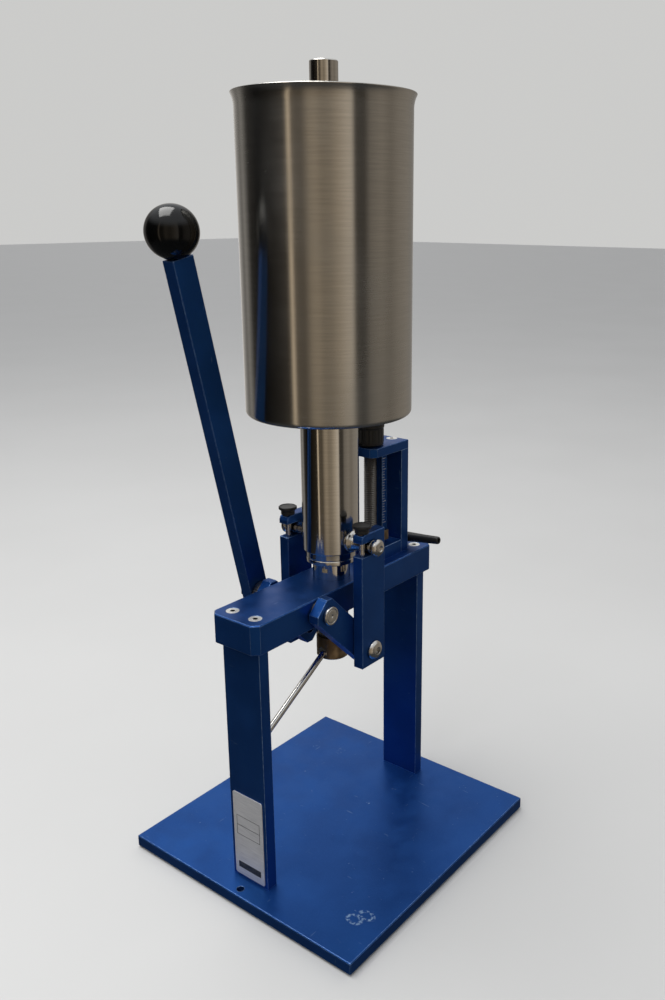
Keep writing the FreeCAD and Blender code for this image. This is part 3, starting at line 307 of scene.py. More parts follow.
def spun_steel(name, colour, roughness, lines, depth, smudge, anisotropy):
    """Stainless steel with fine rings round Z, smudges, hairlines and a painted highlight along its
    edges.
    """
    look = Look(name, colour, 1.0, roughness)
    normal, edge = look.soft_edge(0.0003)
    rings = look.noise(lines, (0.012, 0.012, 1), 3.0)
    hair = look.noise(lines * 0.4, (0.03, 0.03, 1), 3.0, (3, 1, 2))
    cloud = look.levels(look.noise(11, (1, 1, 0.7), 4.0, (0.4, 0.1, 0.2)), 0.42, 0.75)
    dark = tuple(channel * 0.94 for channel in colour)
    light = tuple(min(1.0, channel * 1.04) for channel in colour)
    tone = look.mix(look.levels(hair, 0.3, 0.7, 0.0, 1.0), dark, light)
    tone = look.mix(look.math("MULTIPLY", cloud, smudge), tone, STEEL_SMUDGE)
    # Painted highlight: near-white along the edges.
    tone = look.mix(look.math("MULTIPLY", edge, 0.5), tone, STEEL_EDGE_HIGHLIGHT)
    spread = 0.012
    rough = look.math("ADD", look.levels(hair, 0.3, 0.7, roughness - spread, roughness + spread),
                      look.math("MULTIPLY", cloud, smudge * 0.35))
    normal = look.bump(rings, 0.12, depth, normal)
    tangent = look.add("ShaderNodeTangent", direction_type="RADIAL", axis="Z")
    look.put(tangent.outputs[0], look.shader.inputs["Tangent"])
    return look.finish(tone, rough, normal, Anisotropic=anisotropy, Anisotropic_Rotation=0.25)


def plain_steel(name, colour, roughness):
    """Steel of small screws, pins and rings, with painted shade in its crevices and a painted
    highlight along its edges.
    """
    look = Look(name, colour, 1.0, roughness)
    normal, edge = look.soft_edge(0.0002)
    fine = look.noise(900, detail=3.0)
    cloud = look.levels(look.noise(260, detail=3.0), 0.35, 0.7)
    tone = look.mix(cloud, tuple(channel * 0.88 for channel in colour), colour)
    # Painted highlight: near-white along the edges.
    tone = look.mix(look.math("MULTIPLY", edge, 0.6), tone, SCREW_EDGE_HIGHLIGHT)
    # Painted shade: near-black where ambient occlusion finds a crevice or socket.
    cavity_shade = look.add("ShaderNodeAmbientOcclusion", samples=8)
    cavity_shade.inputs["Distance"].default_value = 0.004
    tone = look.mix(look.levels(cavity_shade.outputs["AO"], 0.30, 0.80), CREVICE_SHADE, tone)
    rough = look.levels(fine, 0.3, 0.7, roughness - 0.04, roughness + 0.08)
    return look.finish(tone, rough, look.bump(fine, 0.2, 0.00003, normal))


def bronze_finish():
    """Dull brown turned bronze with darker stains and a painted highlight along its edges."""
    look = Look("bronze_finish", BRONZE, 1.0, 0.4)
    normal, edge = look.soft_edge(0.0003)
    stain = look.levels(look.noise(95, detail=4.0), 0.38, 0.68)
    tone = look.mix(stain, BRONZE_DARK, BRONZE_CLEAN)
    # Painted highlight: pale bronze along the edges.
    tone = look.mix(look.math("MULTIPLY", edge, 0.7), tone, BRONZE_EDGE_HIGHLIGHT)
    rings = look.noise(2200, (0.02, 0.02, 1), 2.0)
    rough = look.levels(stain, 0, 1, 0.5, 0.34)
    return look.finish(tone, rough, look.bump(rings, 0.3, 0.00004, normal))


def black_finish(name, level, roughness, gloss, grain_depth):
    """Black plastic, from satin to glossy, with a painted highlight along its edges and dust in its
    grain.
    """
    black = (level, level, level)
    look = Look(name, black, 0.0, roughness)
    normal, edge = look.soft_edge(0.0004)
    dust = look.levels(look.noise(700, detail=3.0), 0.55, 0.8, 0.0, 0.3)
    tone = look.mix(dust, black, (level * 2.6,) * 3)
    # Painted highlight: paler grey along the edges.
    tone = look.mix(look.math("MULTIPLY", edge, 0.35), tone, (level * 5 + 0.01,) * 3)
    smear = look.noise(45, detail=4.0)
    rough = look.levels(smear, 0.35, 0.75, roughness, roughness + 0.09)
    normal = look.bump(look.noise(1500, detail=2.0), 0.25, grain_depth, normal)
    return look.finish(tone, rough, normal, Specular_IOR_Level=gloss)


def plate_finish():
    """Satin silver sheet, brushed along its width, with a painted highlight along its edges."""
    look = Look("plate_finish", SILVER, 0.45, 0.36)
    normal, edge = look.soft_edge(0.0003)
    brushed = look.noise(2600, (1, 0.03, 1), 3.0)
    tone = look.mix(look.levels(brushed, 0.3, 0.7), SILVER_DARK, SILVER_LIGHT)
    dull = look.levels(look.noise(40, detail=3.0), 0.55, 0.8, 0, 0.4)
    tone = look.mix(dull, tone, SILVER_DULL)
    # Painted highlight: near-white along the edges.
    tone = look.mix(edge, tone, SILVER_EDGE_HIGHLIGHT)
    rough = look.levels(brushed, 0.3, 0.7, 0.28, 0.42)
    return look.finish(tone, rough, look.bump(brushed, 0.25, 0.00003, normal))


def rubber_finish(name, level, grain):
    """Matt rubber with a fine moulded grain."""
    look = Look(name, (level, level, level), 0.0, 0.78)
    bumps = look.noise(grain, detail=3.0)
    tone = look.mix(look.levels(bumps, 0.3, 0.7), (level * 0.7,) * 3, (level * 1.5,) * 3)
    rough = look.levels(bumps, 0.3, 0.7, 0.68, 0.85)
    return look.finish(tone, rough, look.bump(bumps, 0.5, 0.0001))


def ink_finish():
    """Dark printed lines of the plate's empty form."""
    look = Look("ink_finish", INK, 0.0, 0.5)
    fade = look.levels(look.noise(500, detail=3.0), 0.4, 0.75)
    return look.finish(look.mix(fade, INK_DARK, INK_FADED), look.levels(fade, 0, 1, 0.42, 0.6))


def floor_finish():
    """Plain pale studio floor with a faint cloudiness."""
    look = Look("floor_finish", FLOOR, 0.0, 0.55)
    cloud = look.noise(3, detail=5.0)
    tone = look.mix(look.levels(cloud, 0.3, 0.7), FLOOR_DARK, FLOOR_LIGHT)
    return look.finish(tone, look.levels(cloud, 0.3, 0.7, 0.60, 0.64))


# ---------------------------------------------------------------- mesh making

def mesh_piece(name, verts, faces, material, sharp=35):
    """An object from points and faces in the CAD frame, smooth except at its sharp edges."""
    mesh = bpy.data.meshes.new(name)
    mesh.from_pydata([tuple(point) for point in verts], [], faces)
    work = bmesh.new()
    work.from_mesh(mesh)
    bmesh.ops.recalc_face_normals(work, faces=work.faces)
    work.to_mesh(mesh)
    work.free()
    mesh.shade_smooth()
    mesh.set_sharp_from_angle(angle=math.radians(sharp))
    mesh.materials.append(material)
    piece = bpy.data.objects.new(name, mesh)
    bpy.context.scene.collection.objects.link(piece)
    return piece


def rounded(profile, radius, closed=False):
    """A profile of (radius, height) points with its corners rounded."""
    points = [Vector(point) for point in profile]
    count = len(points)
    smooth = []
    for index, corner in enumerate(points):
        if not closed and index in (0, count - 1):
            smooth.append(corner)
            continue
        back = points[index - 1] - corner
        ahead = points[(index + 1) % count] - corner
        reach = min(radius, back.length * 0.45, ahead.length * 0.45)
        start, end = corner + back.normalized() * reach, corner + ahead.normalized() * reach
        for step in range(FILLET_STEPS + 1):
            share = step / FILLET_STEPS
            smooth.append(start * (1 - share) ** 2 + corner * 2 * share * (1 - share)
                          + end * share ** 2)
    return smooth


def lathe(name, profile, base, axis, material, fillet=0.3, closed=False, wave=None):
    """Turn a profile in millimetres, as (radius, height), about an axis through a base point."""
    axis = Vector(axis).normalized()
    side = axis.orthogonal().normalized()
    other = axis.cross(side)
    verts, rings = [], []
    for radius, height in rounded(profile, fillet, closed):
        centre = Vector(base) + axis * height * MM
        if radius < TINY:
            rings.append([len(verts)])
            verts.append(centre)
            continue
        rings.append(list(range(len(verts), len(verts) + SEGMENTS)))
        for step in range(SEGMENTS):
            angle = 2 * math.pi * step / SEGMENTS
            size = radius + (wave(radius, height, angle) if wave else 0.0)
            verts.append(centre + (side * math.cos(angle) + other * math.sin(angle)) * size * MM)
    faces = []
    pairs = list(zip(rings, rings[1:])) + ([(rings[-1], rings[0])] if closed else [])
    for first, second in pairs:
        for step in range(SEGMENTS):
            after = (step + 1) % SEGMENTS
            corners = [first[step % len(first)], first[after % len(first)],
                       second[after % len(second)], second[step % len(second)]]
            corners = list(dict.fromkeys(corners))
            if len(corners) > 2:
                faces.append(corners)
    return mesh_piece(name, verts, faces, material)


def below(top, points):
    """Profile points given as (radius, distance below the top)."""
    return [(radius, top - depth) for radius, depth in points]


def notches(count, depth, cut):
    """A wave for lathe() that cuts notches of a depth in mm where cut(radius, height) holds."""
    def wave(radius, height, angle):
        return -depth * (0.5 + 0.5 * math.cos(count * angle)) if cut(radius, height) else 0.0
    return wave


def stand_for(piece, body, slot, *nodes):
    """Make a piece ride on a body and replace CAD nodes; the finish slot is not used."""
    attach(piece, body)
    if nodes:
        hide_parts(*nodes)
    return piece


def prism(name, outline, base, axis, across, thick, material, bevel):
    """A flat plate of an outline in millimetres, with its edges bevelled."""
    axis, across = Vector(axis).normalized(), Vector(across).normalized()
    other = axis.cross(across)
    low = [Vector(base) + (across * u + other * v) * MM for u, v in outline]
    high = [point + axis * thick * MM for point in low]
    count = len(outline)
    faces = [list(range(count))[::-1], list(range(count, 2 * count))]
    faces += [[i, (i + 1) % count, count + (i + 1) % count, count + i] for i in range(count)]
    piece = mesh_piece(name, low + high, faces, material)
    modifier = piece.modifiers.new("edge", "BEVEL")
    modifier.width = bevel * MM
    modifier.segments = 3
    modifier.limit_method = "ANGLE"
    modifier.angle_limit = math.radians(40)
    return piece


def round_rectangle(wide, tall, corner, steps=6):
    """Outline of a rectangle with rounded corners."""
    outline = []
    for quarter, (sx, sy) in enumerate(((1, 1), (-1, 1), (-1, -1), (1, -1))):
        for step in range(steps + 1):
            angle = math.pi / 2 * (quarter + step / steps)
            outline.append((sx * (wide / 2 - corner) + corner * math.cos(angle),
                            sy * (tall / 2 - corner) + corner * math.sin(angle)))
    return outline


def polygon(sides, radius):
    """Outline of a regular polygon."""
    angles = [2 * math.pi * index / sides for index in range(sides)]
    return [(radius * math.cos(angle), radius * math.sin(angle)) for angle in angles]


def add_box(verts, faces, corners):
    """Add a box to lists of points and faces, from four front corners and four back ones."""
    start = len(verts)
    verts += corners
    faces += [[start, start + 1, start + 2, start + 3],
              [start + 7, start + 6, start + 5, start + 4]]
    faces += [[start + i, start + (i + 1) % 4, start + 4 + (i + 1) % 4, start + 4 + i]
              for i in range(4)]


# ---------------------------------------------------------------- pieces
# Profiles are in millimetres. Numbers in them that have no name are single steps of a turned edge.

def hopper(material):
    """Spun hopper shell with its flared rim, rounded foot and floor."""
    low, tall, widest = upright("hopper_shell")
    flare, curve, curl = 2.6, 2.2, 11.0
    outer = widest - flare
    wall, floor, foot, seat, band = 1.5, 2, 4.0, 15.0, 120

    def rim(radius, short, steps):
        return [(radius + flare * (step / RIM_STEPS) ** curve,
                 tall - curl + (curl - short) * step / RIM_STEPS) for step in steps]

    profile = [(seat, 0), (outer - foot, 0)]
    for step in range(1, FOOT_STEPS + 1):
        angle = math.pi / 2 * step / FOOT_STEPS
        profile.append((outer - foot + foot * math.sin(angle), foot - foot * math.cos(angle)))
    profile += [(outer, 40), (outer, band)]
    profile += rim(outer, 0.7, range(RIM_STEPS + 1))
    profile += [(outer + flare - 0.5, tall), (outer + flare - 1.3, tall - 0.3)]
    profile += rim(outer - wall, 0.9, range(RIM_STEPS, -1, -1))
    profile += [(outer - wall, band), (outer - wall, foot), (outer - foot, floor), (seat, floor)]
    piece = lathe("hopper", profile, (0, 0, low.z), UP, material, 0.4, closed=True)
    stand_for(piece, "cylinder", "hopper_steel", "hopper_shell")


def tube(material):
    """Dosing cylinder with its turned ring and rounded ends."""
    low, tall, outer = upright("cylinder_tube")
    bore, ring, groove, ring_top = 20, 22.3, 21.9, 10
    profile = [(bore, 0), (ring, 0), (ring, 3.4), (groove, 3.8), (groove, 4.4), (ring, 4.8),
               (ring, ring_top), (outer - 0.4, ring_top), (outer, ring_top + 0.6), (outer, 60),
               (outer, tall), (bore, tall)]
    piece = lathe("dosing_cylinder", profile, (0, 0, low.z), UP, material, 0.35, closed=True)
    stand_for(piece, "cylinder", "polished_steel", "cylinder_tube")


def valve_rod(material):
    """Polished rod that stands out of the hopper, with its disc."""
    low, tall = upright("valve_rod")[:2]
    disc, disc_tall, rod = 17, 4, 11
    profile = [(0, 0), (disc - 1, 0), (disc, 1), (disc, disc_tall), (rod, disc_tall), (rod, 60)]
    profile += below(tall, [(rod, 0.8), (rod - 0.8, 0), (3, 0), (2.4, 1.2), (0, 1.8)])
    piece = lathe("inlet_rod", profile, (0, 0, low.z), UP, material, 0.3)
    stand_for(piece, "inlet_valve", "polished_steel", "valve_rod")


def trunnion(side, axis, material):
    """Trunnion with a filleted boss, a neck for the link and a ball tip."""
    node = f"{side}_trunnion"
    seat, boss, neck, groove, ball = 20.8, 9.6, 6, 4.6, 7.5
    profile = [(0, seat), (boss, seat), (boss, 24.6), (8.4, 25.8), (7.2, 27.6), (6.6, 30),
               (neck, 33)]
    profile += below(reach_of(node), [
        (neck, 7.6), (groove, 7.4), (groove, 6.4), (6.6, 6.2), (7.4, 4.8), (ball, 3.6), (6.9, 2.2),
        (5.6, 1), (3.6, 0.25), (2.6, 0), (2.2, 0.8), (0, 1.2)])
    piece = lathe(f"{side}_trunnion_pin", profile, (0, 0, middle(node).z), axis, material, 0.5)
    stand_for(piece, "cylinder", "polished_steel", node)


def link_bolt(side, axis, material):
    """Domed shoulder bolt with a round recess."""
    node = f"{side}_link_bolt"
    place = middle(node)
    shank, long, head = 5, 14.8, 4.8
    profile = below(reach_of(node), [
        (0, long), (shank, long), (shank, head), (8.3, head), (8.4, 3.4), (7.7, 2.2), (6.4, 1),
        (4.4, 0.25), (3.1, 0), (2.9, 2.2), (0, 2.4)])
    piece = lathe(f"{side}_link_shoulder_bolt", profile, (place.x, 0, place.z), axis, material,
                  0.35)
    stand_for(piece, f"{side}_link", "polished_steel", node)


def lock_knob(side, material):
    """Flat round knob of the lock pin on a short neck, with a ribbed rim and a dished top."""
    node = f"{side}_lock_knob"
    low, tall = upright(node)[:2]
    place = middle(node)
    neck, disc, rim = 6, 8, 7.4
    profile = [(2.5, 0), (neck - 0.5, 0), (neck, 0.5), (neck, 0.54 * tall), (rim, 0.62 * tall),
               (disc, 0.68 * tall), (disc, 0.92 * tall), (rim, tall), (6.4, tall),
               (6.1, tall - 0.35), (0, tall - 0.4)]
    ribs = notches(36, 0.16, lambda radius, height: radius > 7.85)
    piece = lathe(f"{side}_pull_knob", profile, (place.x, place.y, low.z), UP, material, 0.4,
                  wave=ribs)
    stand_for(piece, f"{side}_lock", "black_plastic", node)


def crank_screw(material):
    """Flat-headed pivot screw of the near crank, with a turned face."""
    place = middle("near_crank_screw")
    shank, long, head, head_thick, groove = 3, 17.2, 8, 3.2, 0.25
    profile = below(reach_of("near_crank_screw"), [
        (0, long), (shank, long), (shank, head_thick), (head, head_thick), (head, 0.7), (7.4, 0),
        (6.2, 0), (6.0, groove), (5.6, groove), (5.4, 0), (1.3, 0), (1.0, 0.7), (0, 0.9)])
    piece = lathe("pivot_cap_screw", profile, (place.x, 0, place.z), NEAR, material, 0.3)
    stand_for(piece, "lever", "polished_steel", "near_crank_screw")


def lever_screw(material):
    """Hexagon screw on the outside of the lever, with a washer face."""
    outer = reach_of("lever_screw")
    place = middle("lever_screw")
    shank, long, washer, washer_low, head_low = 3, 37.2, 7.2, 5, 4.2
    profile = below(outer, [(0, long), (shank, long), (shank, washer_low), (washer, washer_low),
                            (washer, head_low), (0, head_low)])
    piece = lathe("lever_screw_shank", profile, (place.x, 0, place.z), FAR, material, 0.2)
    stand_for(piece, "lever", "polished_steel", "lever_screw")
    head = prism("lever_screw_head", polygon(6, 7.4), (place.x, (outer - head_low) * MM, place.z),
                 FAR, UP, 4.1, material, 0.5)
    stand_for(head, "lever", "polished_steel")


def toothed_spacer(material):
    """Serrated ring that spaces the lever off its crank."""
    low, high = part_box("lever_spacer")
    place = middle("lever_spacer")
    outer, long = (high.z - low.z) / 2 / MM, (high.y - low.y) / MM
    bore, chamfer = 6, 0.8
    profile = [(bore, 0), (outer - 1, 0), (outer, chamfer), (outer, long - chamfer),
               (outer - 1, long), (bore, long)]
    teeth = notches(28, 0.55, lambda radius, height: radius > outer - 0.5)
    piece = lathe("serrated_spacer", profile, (place.x, low.y, place.z), FAR, material, 0.2,
                  closed=True, wave=teeth)
    stand_for(piece, "lever", "polished_steel", "lever_spacer")


def ball_knob(material, metal):
    """Glossy ball on the lever with a small collar below it."""
    centre = middle("ball_knob")
    axis = centre - Vector(joint_record("lever_swing")["pos_m"])
    axis.y = 0
    radius, flat = 20.0, 18.5
    start = math.acos(flat / radius)
    profile = [(0, -flat), (math.sin(start) * radius, -flat)]
    for step in range(1, BALL_STEPS + 1):
        angle = start + (math.pi - start) * step / BALL_STEPS
        profile.append((radius * math.sin(angle), -radius * math.cos(angle)))
    piece = lathe("lever_ball", profile, centre, axis, material, 0.3)
    stand_for(piece, "lever", "black_gloss", "ball_knob")
    wide, low, top = 6.4, -flat - 0.4, -flat + 0.6
    collar = lathe("lever_ball_collar", [(0, low), (wide, low), (wide, top), (0, top)],
                   centre, axis, metal, 0.3)
    stand_for(collar, "lever", "polished_steel")


def adjuster_knob(material):
    """Fluted adjuster knob with a stepped rim."""
    low, tall, outer = upright("adjuster_knob")
    place = middle("adjuster_knob")
    bore, foot, grip = 6.1, 11, 12
    profile = [(bore, 0), (foot, 0), (11.8, 0.9), (11.8, 2.6), (grip, 3.2), (grip, 8)]
    profile += below(tall, [(grip, 5.4), (11.6, 4.6), (outer - 0.1, 4), (outer, 3.4), (outer, 1),
                            (outer - 0.8, 0), (8, 0), (7.6, 0.8), (bore, 0.8)])
    flutes = notches(24, 0.45, lambda radius, height: radius > foot and 3 < height < tall - 5)
    piece = lathe("volume_knob", profile, (place.x, place.y, low.z), UP, material, 0.3,
                  closed=True, wave=flutes)
    stand_for(piece, "adjuster_knob", "black_plastic", "adjuster_knob")


def adjuster_spindle(material):
    """Threaded spindle: plain ends and a thread cut as a true helix."""
    low, tall = upright("adjuster_spindle")[:2]
    place = middle("adjuster_spindle")
    pitch, outer, root = 1.75, 6.0, 5.15
    start, end, run_out = 30.0, tall - 4, 3
    rows = int((end - start) / pitch * THREAD_ROWS)
    verts, faces = [], []

    def ring(height, size_at):
        first = len(verts)
        for step in range(THREAD_SIDES):
            angle = 2 * math.pi * step / THREAD_SIDES
            size = size_at(angle) * MM
            verts.append(Vector((place.x + size * math.cos(angle), place.y + size * math.sin(angle),
                                 low.z + height * MM)))
        return first

    def plain(size):
        return lambda angle: size

    def threaded(height):
        def size_at(angle):
            phase = (height / pitch - angle / (2 * math.pi)) % 1.0
            fade = min(1.0, (height - start) / run_out, (end - height) / run_out)
            return outer - (outer - root) * fade * (1 - abs(2 * phase - 1)) ** 0.8
        return size_at

    heights = [(0.0, plain(outer - 0.8)), (0.8, plain(outer)), (start, plain(outer))]
    for row in range(1, rows):
        height = start + (end - start) * row / rows
        heights.append((height, threaded(height)))
    heights += [(end, plain(outer)), (tall - 1, plain(outer)), (tall, plain(outer - 1))]
    rings = [ring(height, size_at) for height, size_at in heights]
    for first, second in zip(rings, rings[1:]):
        for step in range(THREAD_SIDES):
            after = (step + 1) % THREAD_SIDES
            faces.append([first + step, first + after, second + after, second + step])
    faces.append([rings[0] + step for step in range(THREAD_SIDES)][::-1])
    faces.append([rings[-1] + step for step in range(THREAD_SIDES)])
    piece = mesh_piece("threaded_spindle", verts, faces, material, 60)
    stand_for(piece, "adjuster_spindle", "polished_steel", "adjuster_spindle")


def scale_marks(material):
    """Short pale divisions down the near side of the guide bar, each fourth one longer."""
    low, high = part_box("guide_bar")
    first, step, count = high.z - 0.006, 0.0025, 25
    left, half, proud, sunk = low.x + 0.0006, 0.0002, 0.00006, 0.0001
    verts, faces = [], []
    for number in range(count):
        centre = first - step * number
        right = left + (0.0045 if number % 4 == 0 else 0.0028)
        corners = ((left, centre - half), (right, centre - half),
                   (right, centre + half), (left, centre + half))
        add_box(verts, faces, [Vector((x, y, z)) for y in (low.y - proud, low.y + sunk)
                               for x, z in corners])
    stand_for(mesh_piece("scale_marks", verts, faces, material), "frame", "plate_silver")


def clamp_handle(material):
    """Clamp hub and its tapered handle with a rounded end."""
    screw = middle("clamp_screw")
    post_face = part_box("adjuster_post")[1].x
    hub_rad, neck, hub_end = 6, 5.7, 15.5
    hub = [(0, 0.6), (hub_rad, 0.6), (hub_rad, 3), (neck, 3.6), (hub_rad, 4.2), (hub_rad, 14.2),
           (5.2, hub_end), (0, hub_end)]
    stand_for(lathe("clamp_hub", hub, (post_face, screw.y, screw.z), ALONG, material, 0.5),
              "clamp", "black_plastic", "clamp_handle")
    lean, out, length = math.radians(84), 0.010, 43.6
    axis = Vector((0, -math.sin(lean), math.cos(lean)))
    arm = [(0, 0), (4.7, 0), (4.6, 8), (4.0, 24)]
    arm += below(length, [(3.6, 2), (3.4, 0.6), (2.9, 0), (2.0, 0), (1.8, 3), (0, 3.2)])
    stand_for(lathe("clamp_lever", arm, (post_face + out, screw.y, screw.z), axis, material, 0.6),
              "clamp", "black_plastic")


def name_plate(material, ink):
    """Blank rating plate with rounded corners and an empty ruled form."""
    low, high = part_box("name_plate")
    centre = middle("name_plate")
    wide, tall = (high.y - low.y) / MM, (high.z - low.z) / MM
    margin, corner, thick = 0.2, 2.2, 0.72
    outline = round_rectangle(wide - margin, tall - margin, corner)
    plate = prism("rating_plate", outline, (high.x, centre.y, centre.z), -ALONG, FAR, thick,
                  material, 0.18)
    stand_for(plate, "frame", "plate_silver", "name_plate")
    # Ruled lines as (across, up, width, height) from the plate's centre, and their two depths.
    line, row, half, full = 0.45, 9, 13, 26
    bars = [(0, 2 * row, full, line), (0, row, full, line), (0, 0, full, line),
            (-half, row, line, 2 * row + line), (half, row, line, 2 * row + line),
            (0, -30, full, 6)]
    ink_top, ink_low = 0.76, 0.66
    verts, faces = [], []
    for u, v, long, high_bar in bars:
        add_box(verts, faces, [
            Vector((high.x - depth * MM, centre.y + (u + du * long / 2) * MM,
                    centre.z + (v + dv * high_bar / 2) * MM))
            for depth in (ink_top, ink_low) for du, dv in ((-1, -1), (1, -1), (1, 1), (-1, 1))])
    stand_for(mesh_piece("rating_plate_form", verts, faces, ink), "frame", "plate_silver")


def coil_spring(node, body, turns, wire, material):
    """Coil spring of round wire, wound evenly over its CAD node's height."""
    low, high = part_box(node)
    centre = middle(node)
    radius = (high.x - low.x) / 2 - wire * MM
    tall = high.z - low.z - 2 * wire * MM
    steps = COIL_STEPS * turns
    verts, faces = [], []
    for step in range(steps + 1):
        angle = 2 * math.pi * turns * step / steps
        outward = Vector((math.cos(angle), math.sin(angle), 0))
        height = low.z + wire * MM + tall * step / steps
        core = Vector((centre.x, centre.y, height)) + outward * radius
        for side in range(WIRE_SIDES):
            around = 2 * math.pi * side / WIRE_SIDES
            verts.append(core + (outward * math.cos(around) + UP * math.sin(around)) * wire * MM)
    for step in range(steps):
        first, second = step * WIRE_SIDES, (step + 1) * WIRE_SIDES
        for side in range(WIRE_SIDES):
            after = (side + 1) % WIRE_SIDES
            faces.append([first + side, first + after, second + after, second + side])
    faces.append(list(range(WIRE_SIDES))[::-1])
    faces.append([steps * WIRE_SIDES + side for side in range(WIRE_SIDES)])
    piece = mesh_piece(f"{node}_coil", verts, faces, material, 60)
    stand_for(piece, body, "polished_steel", node)
    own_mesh(piece)


def nozzle_ring(material):
    """Rounded seal ring between the nozzle body and the spout."""
    low, tall, outer = upright("nozzle_seal")
    bore, edge = 6.2, 0.6
    profile = [(bore, 0), (outer - edge, 0), (outer, tall / 2), (outer - edge, tall), (bore, tall)]
    piece = lathe("nozzle_ring", profile, (0, 0, low.z), UP, material, 0.6, closed=True)
    stand_for(piece, "frame", "seal", "nozzle_seal")


# ---------------------------------------------------------------- scene

# Worn rings on the base plate, as (x, y) and their half sizes, in metres.
SCUFFS = (((-0.092, -0.098), (0.0042, 0.0060)),
          ((-0.083, -0.1035), (0.0040, 0.0062)),
          ((0.034, -0.012), (0.0010, 0.0016)))
SCUFF_DEEP = 0.01


def build_object():
    """Give every CAD node its finish and build the detailed pieces."""
    plate_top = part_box("base_plate")[1].z
    scuffs = [((*place, plate_top), (*size, SCUFF_DEEP)) for place, size in SCUFFS]
    blue = blue_anodised()
    base_blue = blue_anodised("blue_base_finish", scuffs)
    shell = spun_steel("hopper_finish", (0.55, 0.53, 0.49), 0.21, 2600, 0.00002, 0.30, 0.85)
    turned = spun_steel("turned_steel_finish", (0.64, 0.62, 0.58), 0.12, 3200, 0.00001, 0.08, 0.6)
    bright = plain_steel("bright_steel_finish", (0.70, 0.68, 0.64), 0.2)
    screws = plain_steel("screw_finish", (0.92, 0.91, 0.88), 0.42)
    dark_steel = plain_steel("dark_steel_finish", (0.20, 0.19, 0.175), 0.32)
    bronze = bronze_finish()
    gloss = black_finish("gloss_black_finish", 0.0015, 0.07, 0.40, 0.000005)
    satin = black_finish("satin_black_finish", 0.011, 0.36, 0.45, 0.00004)
    silver = plate_finish()
    mat = rubber_finish("mat_finish", 0.018, 900)
    ring = rubber_finish("seal_finish", 0.022, 1500)
    ink = ink_finish()

    finishes = {
        blue: ("front_upright", "rear_upright", "cross_beam", "near_crank", "far_crank",
               "near_link", "far_link", "lever_bar", "adjuster_foot", "adjuster_post",
               "adjuster_plate", "guide_bar"),
        base_blue: ("base_plate",),
        mat: ("rubber_mat",),
        ring: ("piston_seals",),
        turned: ("stem_nut", "nozzle_body", "piston_stem", "piston_head", "hopper_flange",
                 "valve_guide", "rod_collar"),
        bronze: ("outlet_spout", "near_pivot_bush", "far_pivot_bush", "guide_shoe",
                 "near_lock_bush", "far_lock_bush"),
        screws: ("beam_screws", "base_screws", "foot_screws", "plate_screw"),
        bright: ("pivot_shaft", "ball_stud", "near_lock_pin", "far_lock_pin", "check_ball",
                 "outlet_plug", "outlet_handle", "clamp_screw"),
    }
    for material, names in finishes.items():
        for name in names:
            for slot in frame["nodes"][name].material_slots:
                slot.material = material

    hopper(shell)
    tube(turned)
    valve_rod(turned)
    for side, axis in (("near", NEAR), ("far", FAR)):
        trunnion(side, axis, bright)
        link_bolt(side, axis, bright)
        lock_knob(side, satin)
    crank_screw(bright)
    lever_screw(bright)
    toothed_spacer(dark_steel)
    ball_knob(gloss, bright)
    adjuster_knob(satin)
    adjuster_spindle(dark_steel)
    scale_marks(silver)
    clamp_handle(satin)
    name_plate(silver, ink)
    nozzle_ring(ring)
    coil_spring("valve_spring", "cylinder", 5, 1.1, bright)
    coil_spring("check_spring", "frame", 6, 0.6, bright)


def build_floor():
    """Plain pale floor, left out of mirror reflections so that steel shows the soft room."""
    size, gap = 14.0, 0.0001
    corners = ((-size, -size), (size, -size), (size, size), (-size, size))
    verts = [Vector((x, y, cad_low.z - gap)) for x, y in corners]
    floor = mesh_piece("studio_floor", verts, [[0, 1, 2, 3]], floor_finish())
    floor.visible_glossy = False


# The soft room round the object, as (bearing, brightness, warmth). A bearing is in degrees from
# the direction behind the photograph's viewpoint, and positive to the viewer's right.
ROOM = (
    (-180, 0.60, 0.15), (-166, 0.85, 0.10), (-150, 0.40, 0.20), (-134, 0.16, 0.20),
    (-126, 0.30, 0.20), (-112, 0.030, 0.30), (-90, 0.002, 0.40), (-67, 0.012, 0.80),
    (-46, 0.030, 0.95), (-42.4, 0.85, 0.85), (-41.2, 0.85, 0.85), (-38.5, 0.10, 0.90),
    (-25, 0.095, 0.90), (-15, 0.30, 0.85), (-8, 0.32, 0.85), (0, 0.24, 0.85), (10, 0.26, 0.80),
    (20, 0.38, 0.78), (33, 0.54, 0.62), (38, 0.54, 0.55), (42, 0.055, 0.60), (55, 0.055, 0.60),
    (63, 0.19, 0.55), (80, 0.25, 0.55), (96, 0.20, 0.55), (112, 0.26, 0.50), (134, 0.28, 0.45),
    (156, 0.24, 0.30), (168, 0.30, 0.20), (180, 0.60, 0.15),
)
# How much green and blue a fully warm band loses.
WARM_GREEN, WARM_BLUE = 0.22, 0.48
# Heights of the view direction over which the bands turn into the ceiling and the ground.
CEILING_FROM, CEILING_TO = 0.30, 0.75
GROUND_FROM, GROUND_TO = -0.60, -0.32


